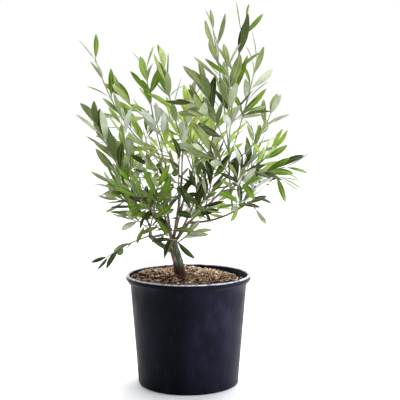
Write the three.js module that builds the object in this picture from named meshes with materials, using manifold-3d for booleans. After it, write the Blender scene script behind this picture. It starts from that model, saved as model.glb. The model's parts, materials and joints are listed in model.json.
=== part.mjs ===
// A young olive in a black nursery pot.
// Millimetres, +Z up, +X to the viewer's right, +Y away from the viewer.
// The origin is the middle of the pot's flat underside.

import * as THREE from 'three';
import { mergeVertices } from 'three/addons/utils/BufferGeometryUtils.js';
import Module from 'manifold-3d';

const wasm = await Module();
wasm.setup();

const GAP = 0.35; // air between two pieces that meet
const DEGREE = Math.PI / 180;

// Pot: round, plastic, about five litres
const POT_FACETS = 36; // round the pot and its filling
const POT_FOOT = 88; // outer radius where the wall leaves the ground
const POT_NECK = 101.5; // outer radius where the lip flares out
const POT_NECK_LEVEL = 175;
const POT_LIP = 109; // outer radius of the lip
const POT_LIP_LEVEL = 184; // of the lip's lower edge
const POT_HEIGHT = 192.5;
const LIP_ROUND = 3; // of the lip's top outer edge
const LIP_TOP = 5; // width of the lip seen from above
const RIM_SPREAD = 1.5; // the inner wall stands this far outside the neck at the soil
const POT_WALL = 2;
const POT_FLOOR = 3;
const FOOT_CORNER = 4; // chamfer between underside and wall
const NOTCHES = 2; // arched drain openings through the foot of the wall
const NOTCH_TURN = 11; // degrees from +X to the first notch
const NOTCH_WIDTH = 14;
const NOTCH_HEIGHT = 32;

// Soil: fills the pot to just under the lip
const SOIL_LEVEL = 188;

// Trunk and boughs: each starts at along, a share of its parent's length, and runs to its tip. bow is
// how far its middle stands off the straight line, and its radius tapers from foot to end.
const TRUNK_START = [-13, 0, SOIL_LEVEL];
const ROOT_FLARE = 1; // added to the trunk's radius where it meets the soil
const STOUT = 4; // a limb with a thicker foot than this has more sides
const STOUT_SIDES = 10;
const SLIM_SIDES = 7;
const LIMB_STEP = 16; // between the rings of a limb
const LIMB_PAST = 0.7; // of its own radius: how far a limb starts inside its parent
const LIMBS = [
  { name: 'trunk', tip: [-28, 0, 247], bow: [1, 0, 0],
    foot: 9.4, end: 8.4 },
  { name: 'left_bough', parent: 'trunk', along: 0.74, tip: [-66, -12, 261], bow: [-2, 0, -2],
    foot: 5.2, end: 4 },
  { name: 'left_riser', parent: 'left_bough', along: 1, tip: [-72, -20, 291], bow: [3, 0, 0],
    foot: 2.4, end: 1.9 },
  { name: 'left_high', parent: 'left_riser', along: 1, tip: [-96, -42, 348], bow: [-3, 0, -4],
    foot: 1.9, end: 1.5 },
  { name: 'centre_left_bough', parent: 'trunk', along: 1, tip: [-40, 25, 385], bow: [-4, 0, 0],
    foot: 2.7, end: 1.9 },
  { name: 'leader', parent: 'trunk', along: 1, tip: [-11, -5, 365], bow: [2, 0, 0],
    foot: 2.9, end: 2 },
  { name: 'centre_right_bough', parent: 'trunk', along: 0.98, tip: [8, 35, 370], bow: [-2, 0, 0],
    foot: 2.6, end: 1.9 },
  { name: 'right_bough', parent: 'trunk', along: 0.97, tip: [1, -12, 285], bow: [0, 0, -1],
    foot: 3.2, end: 2.5 },
  { name: 'right_low_bough', parent: 'right_bough', along: 1, tip: [98, -50, 320], bow: [0, 0, -9],
    foot: 2.2, end: 1.5 },
  { name: 'right_high_bough', parent: 'right_bough', along: 0.97, tip: [66, 15, 345], bow: [0, 0, -2],
    foot: 2, end: 1.5 },
  { name: 'right_riser', parent: 'right_low_bough', along: 0.78, tip: [69, -45, 410], bow: [-2, 0, 0],
    foot: 1.7, end: 1.4 },
  { name: 'back_left_bough', parent: 'trunk', along: 0.9, tip: [-52, 62, 325], bow: [0, 4, -6],
    foot: 2.5, end: 1.8 },
  { name: 'back_right_bough', parent: 'trunk', along: 0.94, tip: [20, 66, 335], bow: [0, 4, -6],
    foot: 2.5, end: 1.8 },
];

// Shoots: each is one leafy mass on one stem, which starts and runs as a bough does. Leaves stand in
// crossed pairs from bare (a share of the stem) to the tip. leaf is their length, spread the angle that
// they lean out at and roll the first pair's turn, in degrees. side counts the side twigs, and fruit
// lists where olives hang, as shares of the stem.
const SHOOTS = [
  { name: 'low_left', parent: 'left_bough', along: 1, tip: [-136, -50, 231], bow: [0, 0, 4],
    seed: 3, roll: 30, pairs: 3, leaf: 46, spread: 40, bare: 0.45, fruit: [0.62] },
  { name: 'lower_left', parent: 'left_riser', along: 0.95, tip: [-122, -32, 388], bow: [-8, 0, -8],
    seed: 5, roll: 10, pairs: 6, leaf: 60, spread: 30, bare: 0.2 },
  { name: 'upper_left', parent: 'left_high', along: 1, tip: [-150, -60, 452], bow: [-2, 0, -2],
    seed: 8, roll: 40, pairs: 6, leaf: 60, spread: 22, bare: 0.3, side: 0 },
  { name: 'left_whip', parent: 'centre_left_bough', along: 1, tip: [-157, -20, 564], bow: [-11, 0, -17],
    seed: 2, roll: 30, pairs: 5, leaf: 52, spread: 24, bare: 0.42 },
  { name: 'left_back', parent: 'centre_left_bough', along: 0.9, tip: [-112, 80, 458],
    seed: 6, roll: 40, pairs: 6, leaf: 46, spread: 26, bare: 0.3, side: 1 },
  { name: 'upper_mid_left', parent: 'centre_right_bough', along: 1, tip: [-41, -20, 546], bow: [-5, 0, 0],
    seed: 9, roll: 20, pairs: 6, leaf: 62, spread: 26, bare: 0.35 },
  { name: 'mid_front', parent: 'right_riser', along: 0.98, tip: [27, -66, 514], bow: [0, 0, -2],
    seed: 11, roll: 30, pairs: 5, leaf: 64, spread: 28, bare: 0.25 },
  { name: 'leader_top', parent: 'leader', along: 1, tip: [4, -5, 486], bow: [-4, 0, 0],
    seed: 12, roll: 10, pairs: 6, leaf: 54, spread: 30, bare: 0.25, side: 1 },
  { name: 'centre_up', parent: 'centre_right_bough', along: 0.9, tip: [28, 50, 455],
    seed: 14, roll: 70, pairs: 4, leaf: 50, spread: 30, bare: 0.3, side: 1 },
  { name: 'top_left', parent: 'right_riser', along: 1, tip: [42, -50, 610], bow: [2, 0, 0],
    seed: 17, roll: 0, pairs: 6, leaf: 60, spread: 27, bare: 0.3, tipLeaf: 0.8 },
  { name: 'top_mid', parent: 'right_riser', along: 0.93, tip: [66, -76, 545], bow: [2, 0, 0],
    seed: 18, roll: 40, pairs: 4, leaf: 62, spread: 22, bare: 0.3 },
  { name: 'top_right', parent: 'right_riser', along: 0.9, tip: [98, -24, 634], bow: [-6, 0, 0],
    seed: 19, roll: 0, pairs: 6, leaf: 72, spread: 22, bare: 0.3, tipLeaf: 0.42 },
  { name: 'top_far_right', parent: 'right_riser', along: 0.86, tip: [117, -6, 562], bow: [2, 0, -4],
    seed: 20, roll: 15, pairs: 5, leaf: 62, spread: 26, bare: 0.45 },
  { name: 'right_upper', parent: 'right_riser', along: 0.8, tip: [142, 10, 470], bow: [6, 0, -10],
    seed: 21, roll: 20, pairs: 4, leaf: 56, spread: 28, bare: 0.5 },
  { name: 'right_mid', parent: 'right_high_bough', along: 1, tip: [146, 30, 408], bow: [6, 0, -4],
    seed: 23, roll: 60, pairs: 4, leaf: 56, spread: 22, bare: 0.3, side: 1 },
  { name: 'far_right', parent: 'right_high_bough', along: 0.96, tip: [166, -10, 380], bow: [0, 0, 4],
    seed: 25, roll: 30, pairs: 5, leaf: 60, spread: 30, bare: 0.35 },
  { name: 'right_low', parent: 'right_low_bough', along: 1, tip: [113, -62, 314], bow: [0, 0, 4],
    seed: 27, roll: 20, pairs: 2, leaf: 46, spread: 34, bare: 0.1 },
  { name: 'right_inner', parent: 'right_riser', along: 0.35, tip: [92, -58, 388], bow: [4, 0, -2],
    seed: 29, roll: 60, pairs: 5, leaf: 58, spread: 32, bare: 0.12 },
  { name: 'front_arch', parent: 'right_riser', along: 0.6, tip: [28, -90, 412], bow: [0, 0, 6],
    seed: 30, roll: 80, pairs: 4, leaf: 60, spread: 28, bare: 0.3 },
  { name: 'front_right', parent: 'right_bough', along: 0.8, tip: [30, -88, 340], bow: [0, 0, -6],
    seed: 31, roll: 10, pairs: 5, leaf: 54, spread: 35, bare: 0.4, side: 1 },
  { name: 'front_left', parent: 'left_riser', along: 0.5, tip: [-50, -92, 350], bow: [0, 0, -6],
    seed: 34, roll: 40, pairs: 5, leaf: 56, spread: 35, bare: 0.3, side: 1, fruit: [0.75] },
  { name: 'front_centre', parent: 'leader', along: 0.5, tip: [-14, -90, 395], bow: [0, 0, -4],
    seed: 35, roll: 30, pairs: 6, leaf: 56, spread: 32, bare: 0.28, side: 1, fruit: [0.6, 0.9] },
  { name: 'left_low', parent: 'left_riser', along: 0.35, tip: [-94, -58, 302],
    seed: 50, roll: 70, pairs: 5, leaf: 54, spread: 38, bare: 0.3 },
  { name: 'centre_low', parent: 'centre_left_bough', along: 0.3, tip: [-60, -52, 335], bow: [0, 0, -4],
    seed: 52, roll: 20, pairs: 5, leaf: 54, spread: 38, bare: 0.35, side: 1 },
  { name: 'right_centre', parent: 'right_high_bough', along: 0.45, tip: [46, -28, 392], bow: [0, 0, -4],
    seed: 54, roll: 40, pairs: 5, leaf: 54, spread: 32, bare: 0.3 },
  { name: 'back_far_left', parent: 'back_left_bough', along: 1, tip: [-112, 110, 400], bow: [0, 0, -6],
    seed: 37, roll: 30, pairs: 5, leaf: 46, spread: 28, bare: 0.3, side: 1 },
  { name: 'back_left', parent: 'back_left_bough', along: 0.9, tip: [-50, 130, 425], bow: [0, 6, -6],
    seed: 39, roll: 10, pairs: 5, leaf: 48, spread: 28, bare: 0.3, side: 1 },
  { name: 'back_centre', parent: 'back_right_bough', along: 0.9, tip: [-5, 105, 465], bow: [0, 6, 0],
    seed: 41, roll: 50, pairs: 5, leaf: 52, spread: 28, bare: 0.4, side: 1 },
  { name: 'back_right', parent: 'back_right_bough', along: 1, tip: [80, 115, 430], bow: [0, 0, -6],
    seed: 43, roll: 20, pairs: 5, leaf: 52, spread: 28, bare: 0.3, side: 1 },
  { name: 'back_tall', parent: 'back_right_bough', along: 0.72, tip: [76, 68, 545], bow: [0, 6, -4],
    seed: 56, roll: 35, pairs: 6, leaf: 58, spread: 26, bare: 0.3, side: 1 },
  { name: 'back_low_left', parent: 'back_left_bough', along: 0.62, tip: [-76, 92, 304], bow: [0, 0, -4],
    seed: 58, roll: 15, pairs: 4, leaf: 48, spread: 36, bare: 0.25 },
  { name: 'back_low_right', parent: 'back_right_bough', along: 0.6, tip: [54, 84, 312], bow: [0, 0, -4],
    seed: 60, roll: 50, pairs: 4, leaf: 48, spread: 36, bare: 0.25 },
  { name: 'mid_left', parent: 'centre_left_bough', along: 0.97, tip: [-72, -8, 545], bow: [-4, 0, 0],
    seed: 62, roll: 25, pairs: 5, leaf: 58, spread: 30, bare: 0.5, side: 1 },
  { name: 'mid_left_inner', parent: 'leader', along: 0.95, tip: [-52, -34, 452], bow: [0, 0, -4],
    seed: 64, roll: 60, pairs: 5, leaf: 52, spread: 30, bare: 0.3, side: 1 },
  { name: 'right_under', parent: 'right_low_bough', along: 0.85, tip: [116, -16, 348], bow: [0, 0, -2],
    seed: 66, roll: 30, pairs: 5, leaf: 54, spread: 38, bare: 0.2 },
  { name: 'right_middle', parent: 'right_low_bough', along: 0.9, tip: [84, -76, 366], bow: [0, 0, -3],
    seed: 68, roll: 15, pairs: 5, leaf: 50, spread: 36, bare: 0.2 },
  { name: 'left_inner', parent: 'left_high', along: 0.7, tip: [-112, -26, 452], bow: [0, 0, -3],
    seed: 70, roll: 30, pairs: 6, leaf: 60, spread: 28, bare: 0.2 },
  { name: 'fork_front', parent: 'trunk', along: 0.95, tip: [-34, -34, 292], bow: [0, 0, -2],
    seed: 45, roll: 55, pairs: 4, leaf: 56, spread: 70, bare: 0.4 },
  { name: 'fork_right', parent: 'trunk', along: 0.92, tip: [4, -12, 268], bow: [0, 0, -1],
    seed: 47, roll: 35, pairs: 3, leaf: 50, spread: 45, bare: 0.5 },
];
const SHOOT_DEFAULTS = { bow: [0, 0, 0], side: 0, fruit: [], tipLeaf: 0.95 };

// Stems and side twigs
const STEM_FOOT = 1.4;
const STEM_END = 0.8;
const SIDE_FOOT = 1;
const SIDE_END = 0.7;
const SIDE_LENGTH = 60;
const SIDE_PAIRS = 4;
const SIDE_BARE = 0.25;
const SIDE_LEAF = 0.85; // of the stem's leaf length
const SIDE_FROM = 0.22; // side twigs leave the stem between these shares of its length
const SIDE_RUN = 0.5;
const SIDE_LEAN = [36, 52]; // degrees off the stem
const SIDE_VARY = [0.8, 1.15]; // of SIDE_LENGTH
const SIDE_SAG = -0.06; // of its length
const TWIG_SIDES = 3;
const TWIG_STEP = 30; // between the rings of a stem or twig
const LEAF_TURN = 137.5; // degrees from one side twig to the next

// Leaves: a slim blade, hung at its root, arched and rolled a little
const LEAF_SHAPE = 1.12; // widens the four-sided outline to a real blade's area
const LEAF_WIDEST = 0.46;
const LEAF_THICK = 0.026; // of its length
const LEAF_WIDTH = [0.21, 0.27]; // of its length
const LEAF_LENGTH = [0.85, 1.1]; // of the shoot's leaf length
const LEAF_ARCH = 32; // degrees
const LEAF_ROLL = 55; // degrees either way about its own midrib
const LEAF_SKYWARD = 0.55; // how far a blade turns its face to the light
const LIGHT = new THREE.Vector3(0.1, -0.45, 0.9);
const LAST_PAIR = 0.995; // share of the stem where the tip's pair sits

// Olives
const OLIVE_LENGTH = 14;
const OLIVE_WIDTH = 10.5;
const OLIVE_STALK = 4;
const STALK_RADIUS = 0.7;
const OLIVE_WAY = [0.6, -0.8]; // sideways and upwards

// Room: a twig or leaf is tried again, then left out, where it would touch another
const TRIES = 4;
const CELL = 8;
const LEAF_ROOM = 2.2;
const TWIG_ROOM = 1.2;
const TWIG_BALL_STEP = 3;
const LEAF_BALL_STEP = 4;
const LEAF_ROW_STEP = 3.5;
const CROWN_LOW = new THREE.Vector3(-188, -150, 200);
const CROWN_HIGH = new THREE.Vector3(208, 190, 662);

const PLASTIC = { color: 0x20222a, roughness: 0.38, metalness: 0 };
const SOIL = { color: 0x5a4330, roughness: 1, metalness: 0 };
const BARK = { color: 0x6d5a48, roughness: 0.85, metalness: 0 };
const LEAF = { color: 0x5b8237, roughness: 0.5, metalness: 0 };

const vector = (list) => new THREE.Vector3(...list);
const between = (low, high, share) => low + (high - low) * share;

// A repeatable dice: the same seed always rolls the same run of numbers
function makeDice(seed) {
  let state = seed;
  const roll = (low, high) => {
    state = (state * 1664525 + 1013904223) % 4294967296;
    return low + ((high - low) * state) / 4294967296;
  };
  roll(0, 1);
  return roll;
}

// The part of a vector that is square to a direction, as a direction
function squareTo(way, direction) {
  return way.clone().addScaledVector(direction, -way.dot(direction)).normalize();
}

// The centre line of a limb, stem or twig: a straight reach with one bow in it
class Reach extends THREE.Curve {
  constructor(start, tip, bow) {
    super();
    this.start = start;
    this.chord = tip.clone().sub(start);
    this.bow = bow;
    this.span = this.chord.length();
    const runsAcross = Math.abs(this.chord.x) > 0.85 * this.span;
    this.reference = runsAcross ? new THREE.Vector3(0, 0, 1) : new THREE.Vector3(1, 0, 0);
  }

  getPoint(t) {
    return this.start.clone().addScaledVector(this.chord, t).addScaledVector(this.bow, 4 * t * (1 - t));
  }

  getTangent(t) {
    return this.chord.clone().addScaledVector(this.bow, 4 * (1 - 2 * t)).normalize();
  }

  frame(t) {
    const heading = this.getTangent(t);
    const side = squareTo(this.reference, heading);
    return { heading, side, back: heading.clone().cross(side) };
  }
}

// Where twigs and leaves already are, as small balls in a grid of cells
class Room {
  cells = new Map();

  take(balls, owner) {
    for (const { centre, radius } of balls) {
      const [i, j, k] = this.cell(centre);
      const key = this.key(i, j, k);
      if (!this.cells.has(key)) this.cells.set(key, []);
      this.cells.get(key).push({ centre, radius, owner });
    }
  }

  isFree(balls, owner) {
    return balls.every((ball) => !this.near(ball.centre).some((other) =>
      other.owner !== owner && other.centre.distanceTo(ball.centre) < other.radius + ball.radius));
  }

  near(point) {
    const [i, j, k] = this.cell(point);
    const found = [];
    for (const a of [i - 1, i, i + 1]) {
      for (const b of [j - 1, j, j + 1]) {
        for (const c of [k - 1, k, k + 1]) found.push(...(this.cells.get(this.key(a, b, c)) ?? []));
      }
    }
    return found;
  }

  cell(point) {
    return [point.x, point.y, point.z].map((value) => Math.floor(value / CELL));
  }

  key(i, j, k) {
    return `${i},${j},${k}`;
  }
}

const crown = new THREE.Box3(CROWN_LOW, CROWN_HIGH);

function rodBalls(curve, foot, end) {
  const steps = Math.ceil(curve.span / TWIG_BALL_STEP);
  return Array.from({ length: steps + 1 }, (_, i) => ({
    centre: curve.getPoint(i / steps),
    radius: between(foot, end, i / steps) + TWIG_ROOM,
  }));
}

// A point on a blade's midrib, s from 0 at the root to 1 at the tip
function leafPoint(leaf, s) {
  const isFlat = Math.abs(leaf.arch) < 0.001;
  const ahead = isFlat ? s : Math.sin(leaf.arch * s) / leaf.arch;
  const down = isFlat ? 0 : (1 - Math.cos(leaf.arch * s)) / leaf.arch;
  return leaf.root.clone()
    .addScaledVector(leaf.way, ahead * leaf.length)
    .addScaledVector(leaf.up, -down * leaf.length);
}

function leafBalls(leaf) {
  const balls = [];
  const steps = Math.ceil(leaf.length / LEAF_BALL_STEP);
  const across = leaf.way.clone().cross(leaf.up);
  for (let i = 1; i <= steps; i++) {
    const s = i / steps;
    const middle = leafPoint(leaf, s);
    const half = i === steps ? 0 : (leaf.width / 2) * Math.sin(Math.PI * s ** 0.92) ** 0.8;
    const rows = Math.ceil(half / LEAF_ROW_STEP);
    balls.push({ centre: middle, radius: LEAF_ROOM });
    for (let row = 1; row <= rows; row++) {
      const offset = (half * row) / (rows + 0.35);
      balls.push({ centre: middle.clone().addScaledVector(across, offset), radius: LEAF_ROOM });
      balls.push({ centre: middle.clone().addScaledVector(across, -offset), radius: LEAF_ROOM });
    }
  }
  return balls;
}

// One leaf: it leans out from its twig at turn, more so near the twig's foot, and turns to the light
function makeLeaf(twig, roll, t, share, turn, size) {
  const { heading, side, back } = twig.curve.frame(t);
  const outward = side.clone().multiplyScalar(Math.cos(turn)).addScaledVector(back, Math.sin(turn));
  const spread = (twig.shoot.spread * (1.25 - 0.55 * share) + roll(-8, 8)) * DEGREE;
  const way = heading.clone().multiplyScalar(Math.cos(spread))
    .addScaledVector(outward, Math.sin(spread)).normalize();
  const length = size * (0.85 + 0.15 * Math.sin(Math.PI * share)) * roll(...LEAF_LENGTH);
  const skyward = LEAF_SKYWARD * roll(0.3, 1.4);
  const lit = squareTo(heading, way).multiplyScalar(1 - skyward)
    .addScaledVector(squareTo(LIGHT, way), skyward);
  const flat = squareTo(lit, way);
  const twist = roll(-LEAF_ROLL, LEAF_ROLL) * DEGREE;
  const up = flat.clone().multiplyScalar(Math.cos(twist))
    .addScaledVector(way.clone().cross(flat), Math.sin(twist));
  const arch = LEAF_ARCH * roll(-0.6, 1.2) * DEGREE;
  const width = length * roll(...LEAF_WIDTH);
  return { root: twig.curve.getPoint(t), way, up, length, width, arch };
}

function growLeaves(room, twig, roll) {
  const leaves = [];
  const last = twig.pairs - 1;
  for (let pair = 0; pair <= last; pair++) {
    const share = pair / last;
    const t = between(twig.bare, LAST_PAIR, share);
    const size = twig.leaf * (pair === last ? twig.shoot.tipLeaf : 1);
    for (const halfTurn of [0, 180]) {
      for (let attempt = 0; attempt < TRIES; attempt++) {
        const turn = (twig.roll + 90 * pair + halfTurn + roll(-14, 14) * (1 + attempt)) * DEGREE;
        const leaf = makeLeaf(twig, roll, t, share, turn, size);
        const balls = leafBalls(leaf);
        if (crown.containsPoint(leafPoint(leaf, 1)) && room.isFree(balls, twig.name)) {
          room.take(balls, twig.name);
          leaves.push(leaf);
          break;
        }
      }
    }
  }
  return leaves;
}

function growSideTwigs(room, stem, roll) {
  const { shoot } = stem;
  const twigs = [];
  for (let j = 0; j < shoot.side; j++) {
    const t = SIDE_FROM + (SIDE_RUN * (j + 0.5)) / shoot.side;
    const name = `${shoot.name}_${j}`;
    for (let attempt = 0; attempt < TRIES; attempt++) {
      const { heading, side, back } = stem.curve.frame(t);
      const turn = (shoot.roll + LEAF_TURN * (j + 1) + roll(-25, 25) * (1 + attempt)) * DEGREE;
      const lean = roll(...SIDE_LEAN) * DEGREE;
      const outward = side.clone().multiplyScalar(Math.cos(turn)).addScaledVector(back, Math.sin(turn));
      const way = heading.clone().multiplyScalar(Math.cos(lean))
        .addScaledVector(outward, Math.sin(lean)).normalize();
      const length = SIDE_LENGTH * roll(...SIDE_VARY);
      const start = stem.curve.getPoint(t);
      const sag = new THREE.Vector3(0, 0, SIDE_SAG * length);
      const curve = new Reach(start, start.clone().addScaledVector(way, length), sag);
      const balls = rodBalls(curve, SIDE_FOOT, SIDE_END);
      if (crown.containsPoint(curve.getPoint(1)) && room.isFree(balls.slice(3), name)) {
        room.take(balls, name);
        twigs.push({
          name, shoot, curve, foot: SIDE_FOOT, end: SIDE_END, pairs: SIDE_PAIRS, bare: SIDE_BARE,
          leaf: shoot.leaf * SIDE_LEAF, roll: roll(0, 90),
        });
        break;
      }
    }
  }
  return twigs;
}

function growOlives(room, stem, roll) {
  const olives = [];
  for (const t of stem.shoot.fruit) {
    for (let attempt = 0; attempt < TRIES; attempt++) {
      const turn = roll(0, 360) * DEGREE;
      const [sideways, upwards] = OLIVE_WAY;
      const way = new THREE.Vector3(sideways * Math.cos(turn), sideways * Math.sin(turn), upwards);
      const root = stem.curve.getPoint(t);
      const centre = root.clone().addScaledVector(way, OLIVE_STALK + OLIVE_LENGTH / 2);
      const balls = [{ centre, radius: OLIVE_LENGTH / 2 }];
      if (room.isFree(balls, stem.name)) {
        room.take(balls, stem.name);
        olives.push({ root, way, centre });
        break;
      }
    }
  }
  return olives;
}

function solidFrom(geometry) {
  const bare = geometry.clone();
  bare.deleteAttribute('normal');
  bare.deleteAttribute('uv');
  const merged = mergeVertices(bare, 1e-5);
  return new wasm.Manifold(new wasm.Mesh({
    numProp: 3,
    vertProperties: new Float32Array(merged.getAttribute('position').array),
    triVerts: new Uint32Array(merged.index.array),
  }));
}

function geometryFrom(solid) {
  const mesh = solid.getMesh();
  const geometry = new THREE.BufferGeometry();
  geometry.setAttribute('position', new THREE.BufferAttribute(mesh.vertProperties, 3));
  geometry.setIndex(new THREE.BufferAttribute(mesh.triVerts, 1));
  return geometry;
}

function meshOf(name, geometry, look) {
  const mesh = new THREE.Mesh(geometry, new THREE.MeshStandardMaterial(look));
  mesh.name = name;
  return mesh;
}

// The largest single body of a solid, without the scraps that a cut leaves
function mainBody(solid) {
  return solid.decompose().reduce((best, body) => (body.volume() > best.volume() ? body : best));
}

// A round rod along a reach: a cylinder laid over the curve, as far past its two ends as footPast
// and tipPast say. radiusAt gives its radius at a share of the length.
function rodSolid(curve, radiusAt, sides, steps, footPast = 0, tipPast = 0) {
  const rod = new THREE.CylinderGeometry(1, 1, 1, sides, steps);
  const places = rod.getAttribute('position');
  const place = new THREE.Vector3();
  for (let i = 0; i < places.count; i++) {
    place.fromBufferAttribute(places, i);
    const t = place.y + 0.5;
    const { heading, side, back } = curve.frame(t);
    const radius = radiusAt(t);
    const past = (t < 1e-6 ? -footPast : 0) + (t > 1 - 1e-6 ? tipPast : 0);
    const point = curve.getPoint(t)
      .addScaledVector(side, place.x * radius)
      .addScaledVector(back, -place.z * radius)
      .addScaledVector(heading, past);
    places.setXYZ(i, point.x, point.y, point.z);
  }
  return solidFrom(rod);
}

// One leaf: eight faces round its root, its tip, its two edges and its two faces
function leafSolid(leaf) {
  const blade = new THREE.OctahedronGeometry(1);
  const places = blade.getAttribute('position');
  const across = leaf.up.clone().cross(leaf.way);
  const corner = new THREE.Vector3();
  for (let i = 0; i < places.count; i++) {
    corner.fromBufferAttribute(places, i);
    const s = corner.x < -0.5 ? 0 : corner.x > 0.5 ? 1 : LEAF_WIDEST;
    const point = leafPoint(leaf, s)
      .addScaledVector(across, (corner.y * leaf.width * LEAF_SHAPE) / 2)
      .addScaledVector(leaf.up, (corner.z * leaf.length * LEAF_THICK) / 2);
    places.setXYZ(i, point.x, point.y, point.z);
  }
  return solidFrom(blade);
}

function oliveSolid(olive) {
  const fruit = new THREE.SphereGeometry(1, 6, 4);
  fruit.scale(OLIVE_WIDTH / 2, OLIVE_LENGTH / 2, OLIVE_WIDTH / 2);
  const upright = new THREE.Vector3(0, -1, 0);
  fruit.applyQuaternion(new THREE.Quaternion().setFromUnitVectors(upright, olive.way));
  fruit.translate(olive.centre.x, olive.centre.y, olive.centre.z);
  const stalk = rodSolid(new Reach(olive.root, olive.centre, new THREE.Vector3()), () => STALK_RADIUS, TWIG_SIDES, 1);
  return solidFrom(fruit).add(stalk);
}

// Pot: one turned shell with a rolled lip and a flat underside, notched at its foot
function potMesh() {
  const outline = [
    [0, 0],
    [POT_FOOT - FOOT_CORNER, 0],
    [POT_FOOT, FOOT_CORNER],
    [POT_NECK, POT_NECK_LEVEL],
    [POT_LIP, POT_LIP_LEVEL],
    [POT_LIP, POT_HEIGHT - LIP_ROUND],
    [POT_LIP - LIP_ROUND, POT_HEIGHT],
    [POT_LIP - LIP_TOP, POT_HEIGHT],
    [POT_NECK + RIM_SPREAD, SOIL_LEVEL],
    [POT_NECK - POT_WALL, POT_NECK_LEVEL],
    [POT_FOOT - POT_WALL, POT_FLOOR + FOOT_CORNER],
    [POT_FOOT - POT_WALL - FOOT_CORNER, POT_FLOOR],
    [0, POT_FLOOR],
  ].map(([radius, height]) => new THREE.Vector2(radius, height));
  let shell = solidFrom(new THREE.LatheGeometry(outline, POT_FACETS).rotateX(90 * DEGREE));
  for (let i = 0; i < NOTCHES; i++) shell = shell.subtract(notchSolid(i));
  return meshOf('pot', geometryFrom(shell), PLASTIC);
}

function notchSolid(index) {
  const half = NOTCH_WIDTH / 2;
  const arch = new THREE.Shape();
  arch.moveTo(-half, -1);
  arch.lineTo(half, -1);
  arch.lineTo(half, NOTCH_HEIGHT - half);
  arch.absarc(0, NOTCH_HEIGHT - half, half, 0, Math.PI, false);
  const reach = { depth: 4 * POT_WALL, bevelEnabled: false, curveSegments: 6 };
  const cutter = new THREE.ExtrudeGeometry(arch, reach);
  cutter.rotateX(90 * DEGREE);
  cutter.rotateZ(90 * DEGREE);
  cutter.translate(POT_FOOT - POT_WALL, 0, 0);
  cutter.rotateZ((NOTCH_TURN + (index * 360) / NOTCHES) * DEGREE);
  return solidFrom(cutter);
}

// Soil: a plug that follows the inside of the pot, level on top
function soilMesh() {
  const outline = [
    [0, POT_FLOOR + GAP],
    [POT_FOOT - POT_WALL - FOOT_CORNER - GAP, POT_FLOOR + GAP],
    [POT_FOOT - POT_WALL - GAP, POT_FLOOR + FOOT_CORNER + GAP],
    [POT_NECK - POT_WALL - GAP, POT_NECK_LEVEL + GAP],
    [POT_NECK + RIM_SPREAD - 2 * GAP, SOIL_LEVEL],
    [0, SOIL_LEVEL],
  ].map(([radius, height]) => new THREE.Vector2(radius, height));
  return meshOf('soil', new THREE.LatheGeometry(outline, POT_FACETS).rotateX(90 * DEGREE), SOIL);
}

// The wood of the trunk and boughs, each cut clear of those before it
function growLimbs(room) {
  const limbs = new Map();
  for (const spec of LIMBS) {
    const start = spec.parent ? limbs.get(spec.parent).curve.getPoint(spec.along) : vector(TRUNK_START);
    const curve = new Reach(start, vector(spec.tip), vector(spec.bow));
    limbs.set(spec.name, { name: spec.name, curve, foot: spec.foot, end: spec.end });
    room.take(rodBalls(curve, spec.foot, spec.end), spec.name);
  }
  return limbs;
}

function limbRadius(limb, t, grown) {
  const flare = limb.name === 'trunk' ? ROOT_FLARE * (1 - t) ** 5 : 0;
  return between(limb.foot, limb.end, t) + flare + grown;
}

function limbSolid(limb, grown) {
  const sides = limb.foot > STOUT ? STOUT_SIDES : SLIM_SIDES;
  const steps = Math.max(3, Math.round(limb.curve.span / LIMB_STEP));
  const radiusAt = (t) => limbRadius(limb, t, grown);
  return rodSolid(limb.curve, radiusAt, sides, steps, LIMB_PAST * limb.foot + grown, grown);
}

function belowSoil() {
  const block = new THREE.BoxGeometry(60, 60, 40);
  block.translate(TRUNK_START[0], TRUNK_START[1], SOIL_LEVEL + GAP - 20);
  return solidFrom(block);
}

function limbMeshes(limbs, sleeves) {
  const meshes = [];
  for (const limb of limbs.values()) {
    let wood = limbSolid(limb, 0);
    for (const sleeve of sleeves) wood = wood.subtract(sleeve);
    sleeves.push(limbSolid(limb, GAP));
    meshes.push(meshOf(limb.name, geometryFrom(mainBody(wood)), BARK));
  }
  return meshes;
}

function growStems(room, limbs) {
  return SHOOTS.map((given) => {
    const shoot = { ...SHOOT_DEFAULTS, ...given };
    const start = limbs.get(shoot.parent).curve.getPoint(shoot.along);
    const curve = new Reach(start, vector(shoot.tip), vector(shoot.bow));
    room.take(rodBalls(curve, STEM_FOOT, STEM_END), shoot.name);
    return {
      name: shoot.name, shoot, curve, foot: STEM_FOOT, end: STEM_END,
      pairs: shoot.pairs, bare: shoot.bare, leaf: shoot.leaf, roll: shoot.roll,
    };
  });
}

function twigSolid(twig, grown) {
  const steps = Math.max(2, Math.round(twig.curve.span / TWIG_STEP));
  const radiusAt = (t) => between(twig.foot, twig.end, t) + grown;
  return rodSolid(twig.curve, radiusAt, TWIG_SIDES, steps, grown, grown);
}

// Each mass: its stem, side twigs, leaves and olives in one solid, cut clear of limbs and other stems
function massMeshes(room, stems, sleeves) {
  const dice = new Map(stems.map((stem) => [stem.name, makeDice(stem.shoot.seed)]));
  const masses = stems.map((stem) => {
    const roll = dice.get(stem.name);
    const twigs = [stem, ...growSideTwigs(room, stem, roll)];
    return { stem, twigs, olives: growOlives(room, stem, roll) };
  });
  const cuts = [...sleeves];
  return masses.map(({ stem, twigs, olives }) => {
    const roll = dice.get(stem.name);
    const leaves = twigs.flatMap((twig) => growLeaves(room, twig, roll));
    const pieces = [
      ...twigs.map((twig) => twigSolid(twig, 0)),
      ...leaves.map(leafSolid),
      ...olives.map(oliveSolid),
    ];
    let mass = wasm.Manifold.union(pieces);
    for (const cut of cuts) mass = mass.subtract(cut);
    cuts.push(twigSolid(stem, 2 * GAP));
    return meshOf(`${stem.name}_foliage`, geometryFrom(mainBody(mass)), LEAF);
  });
}

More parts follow.
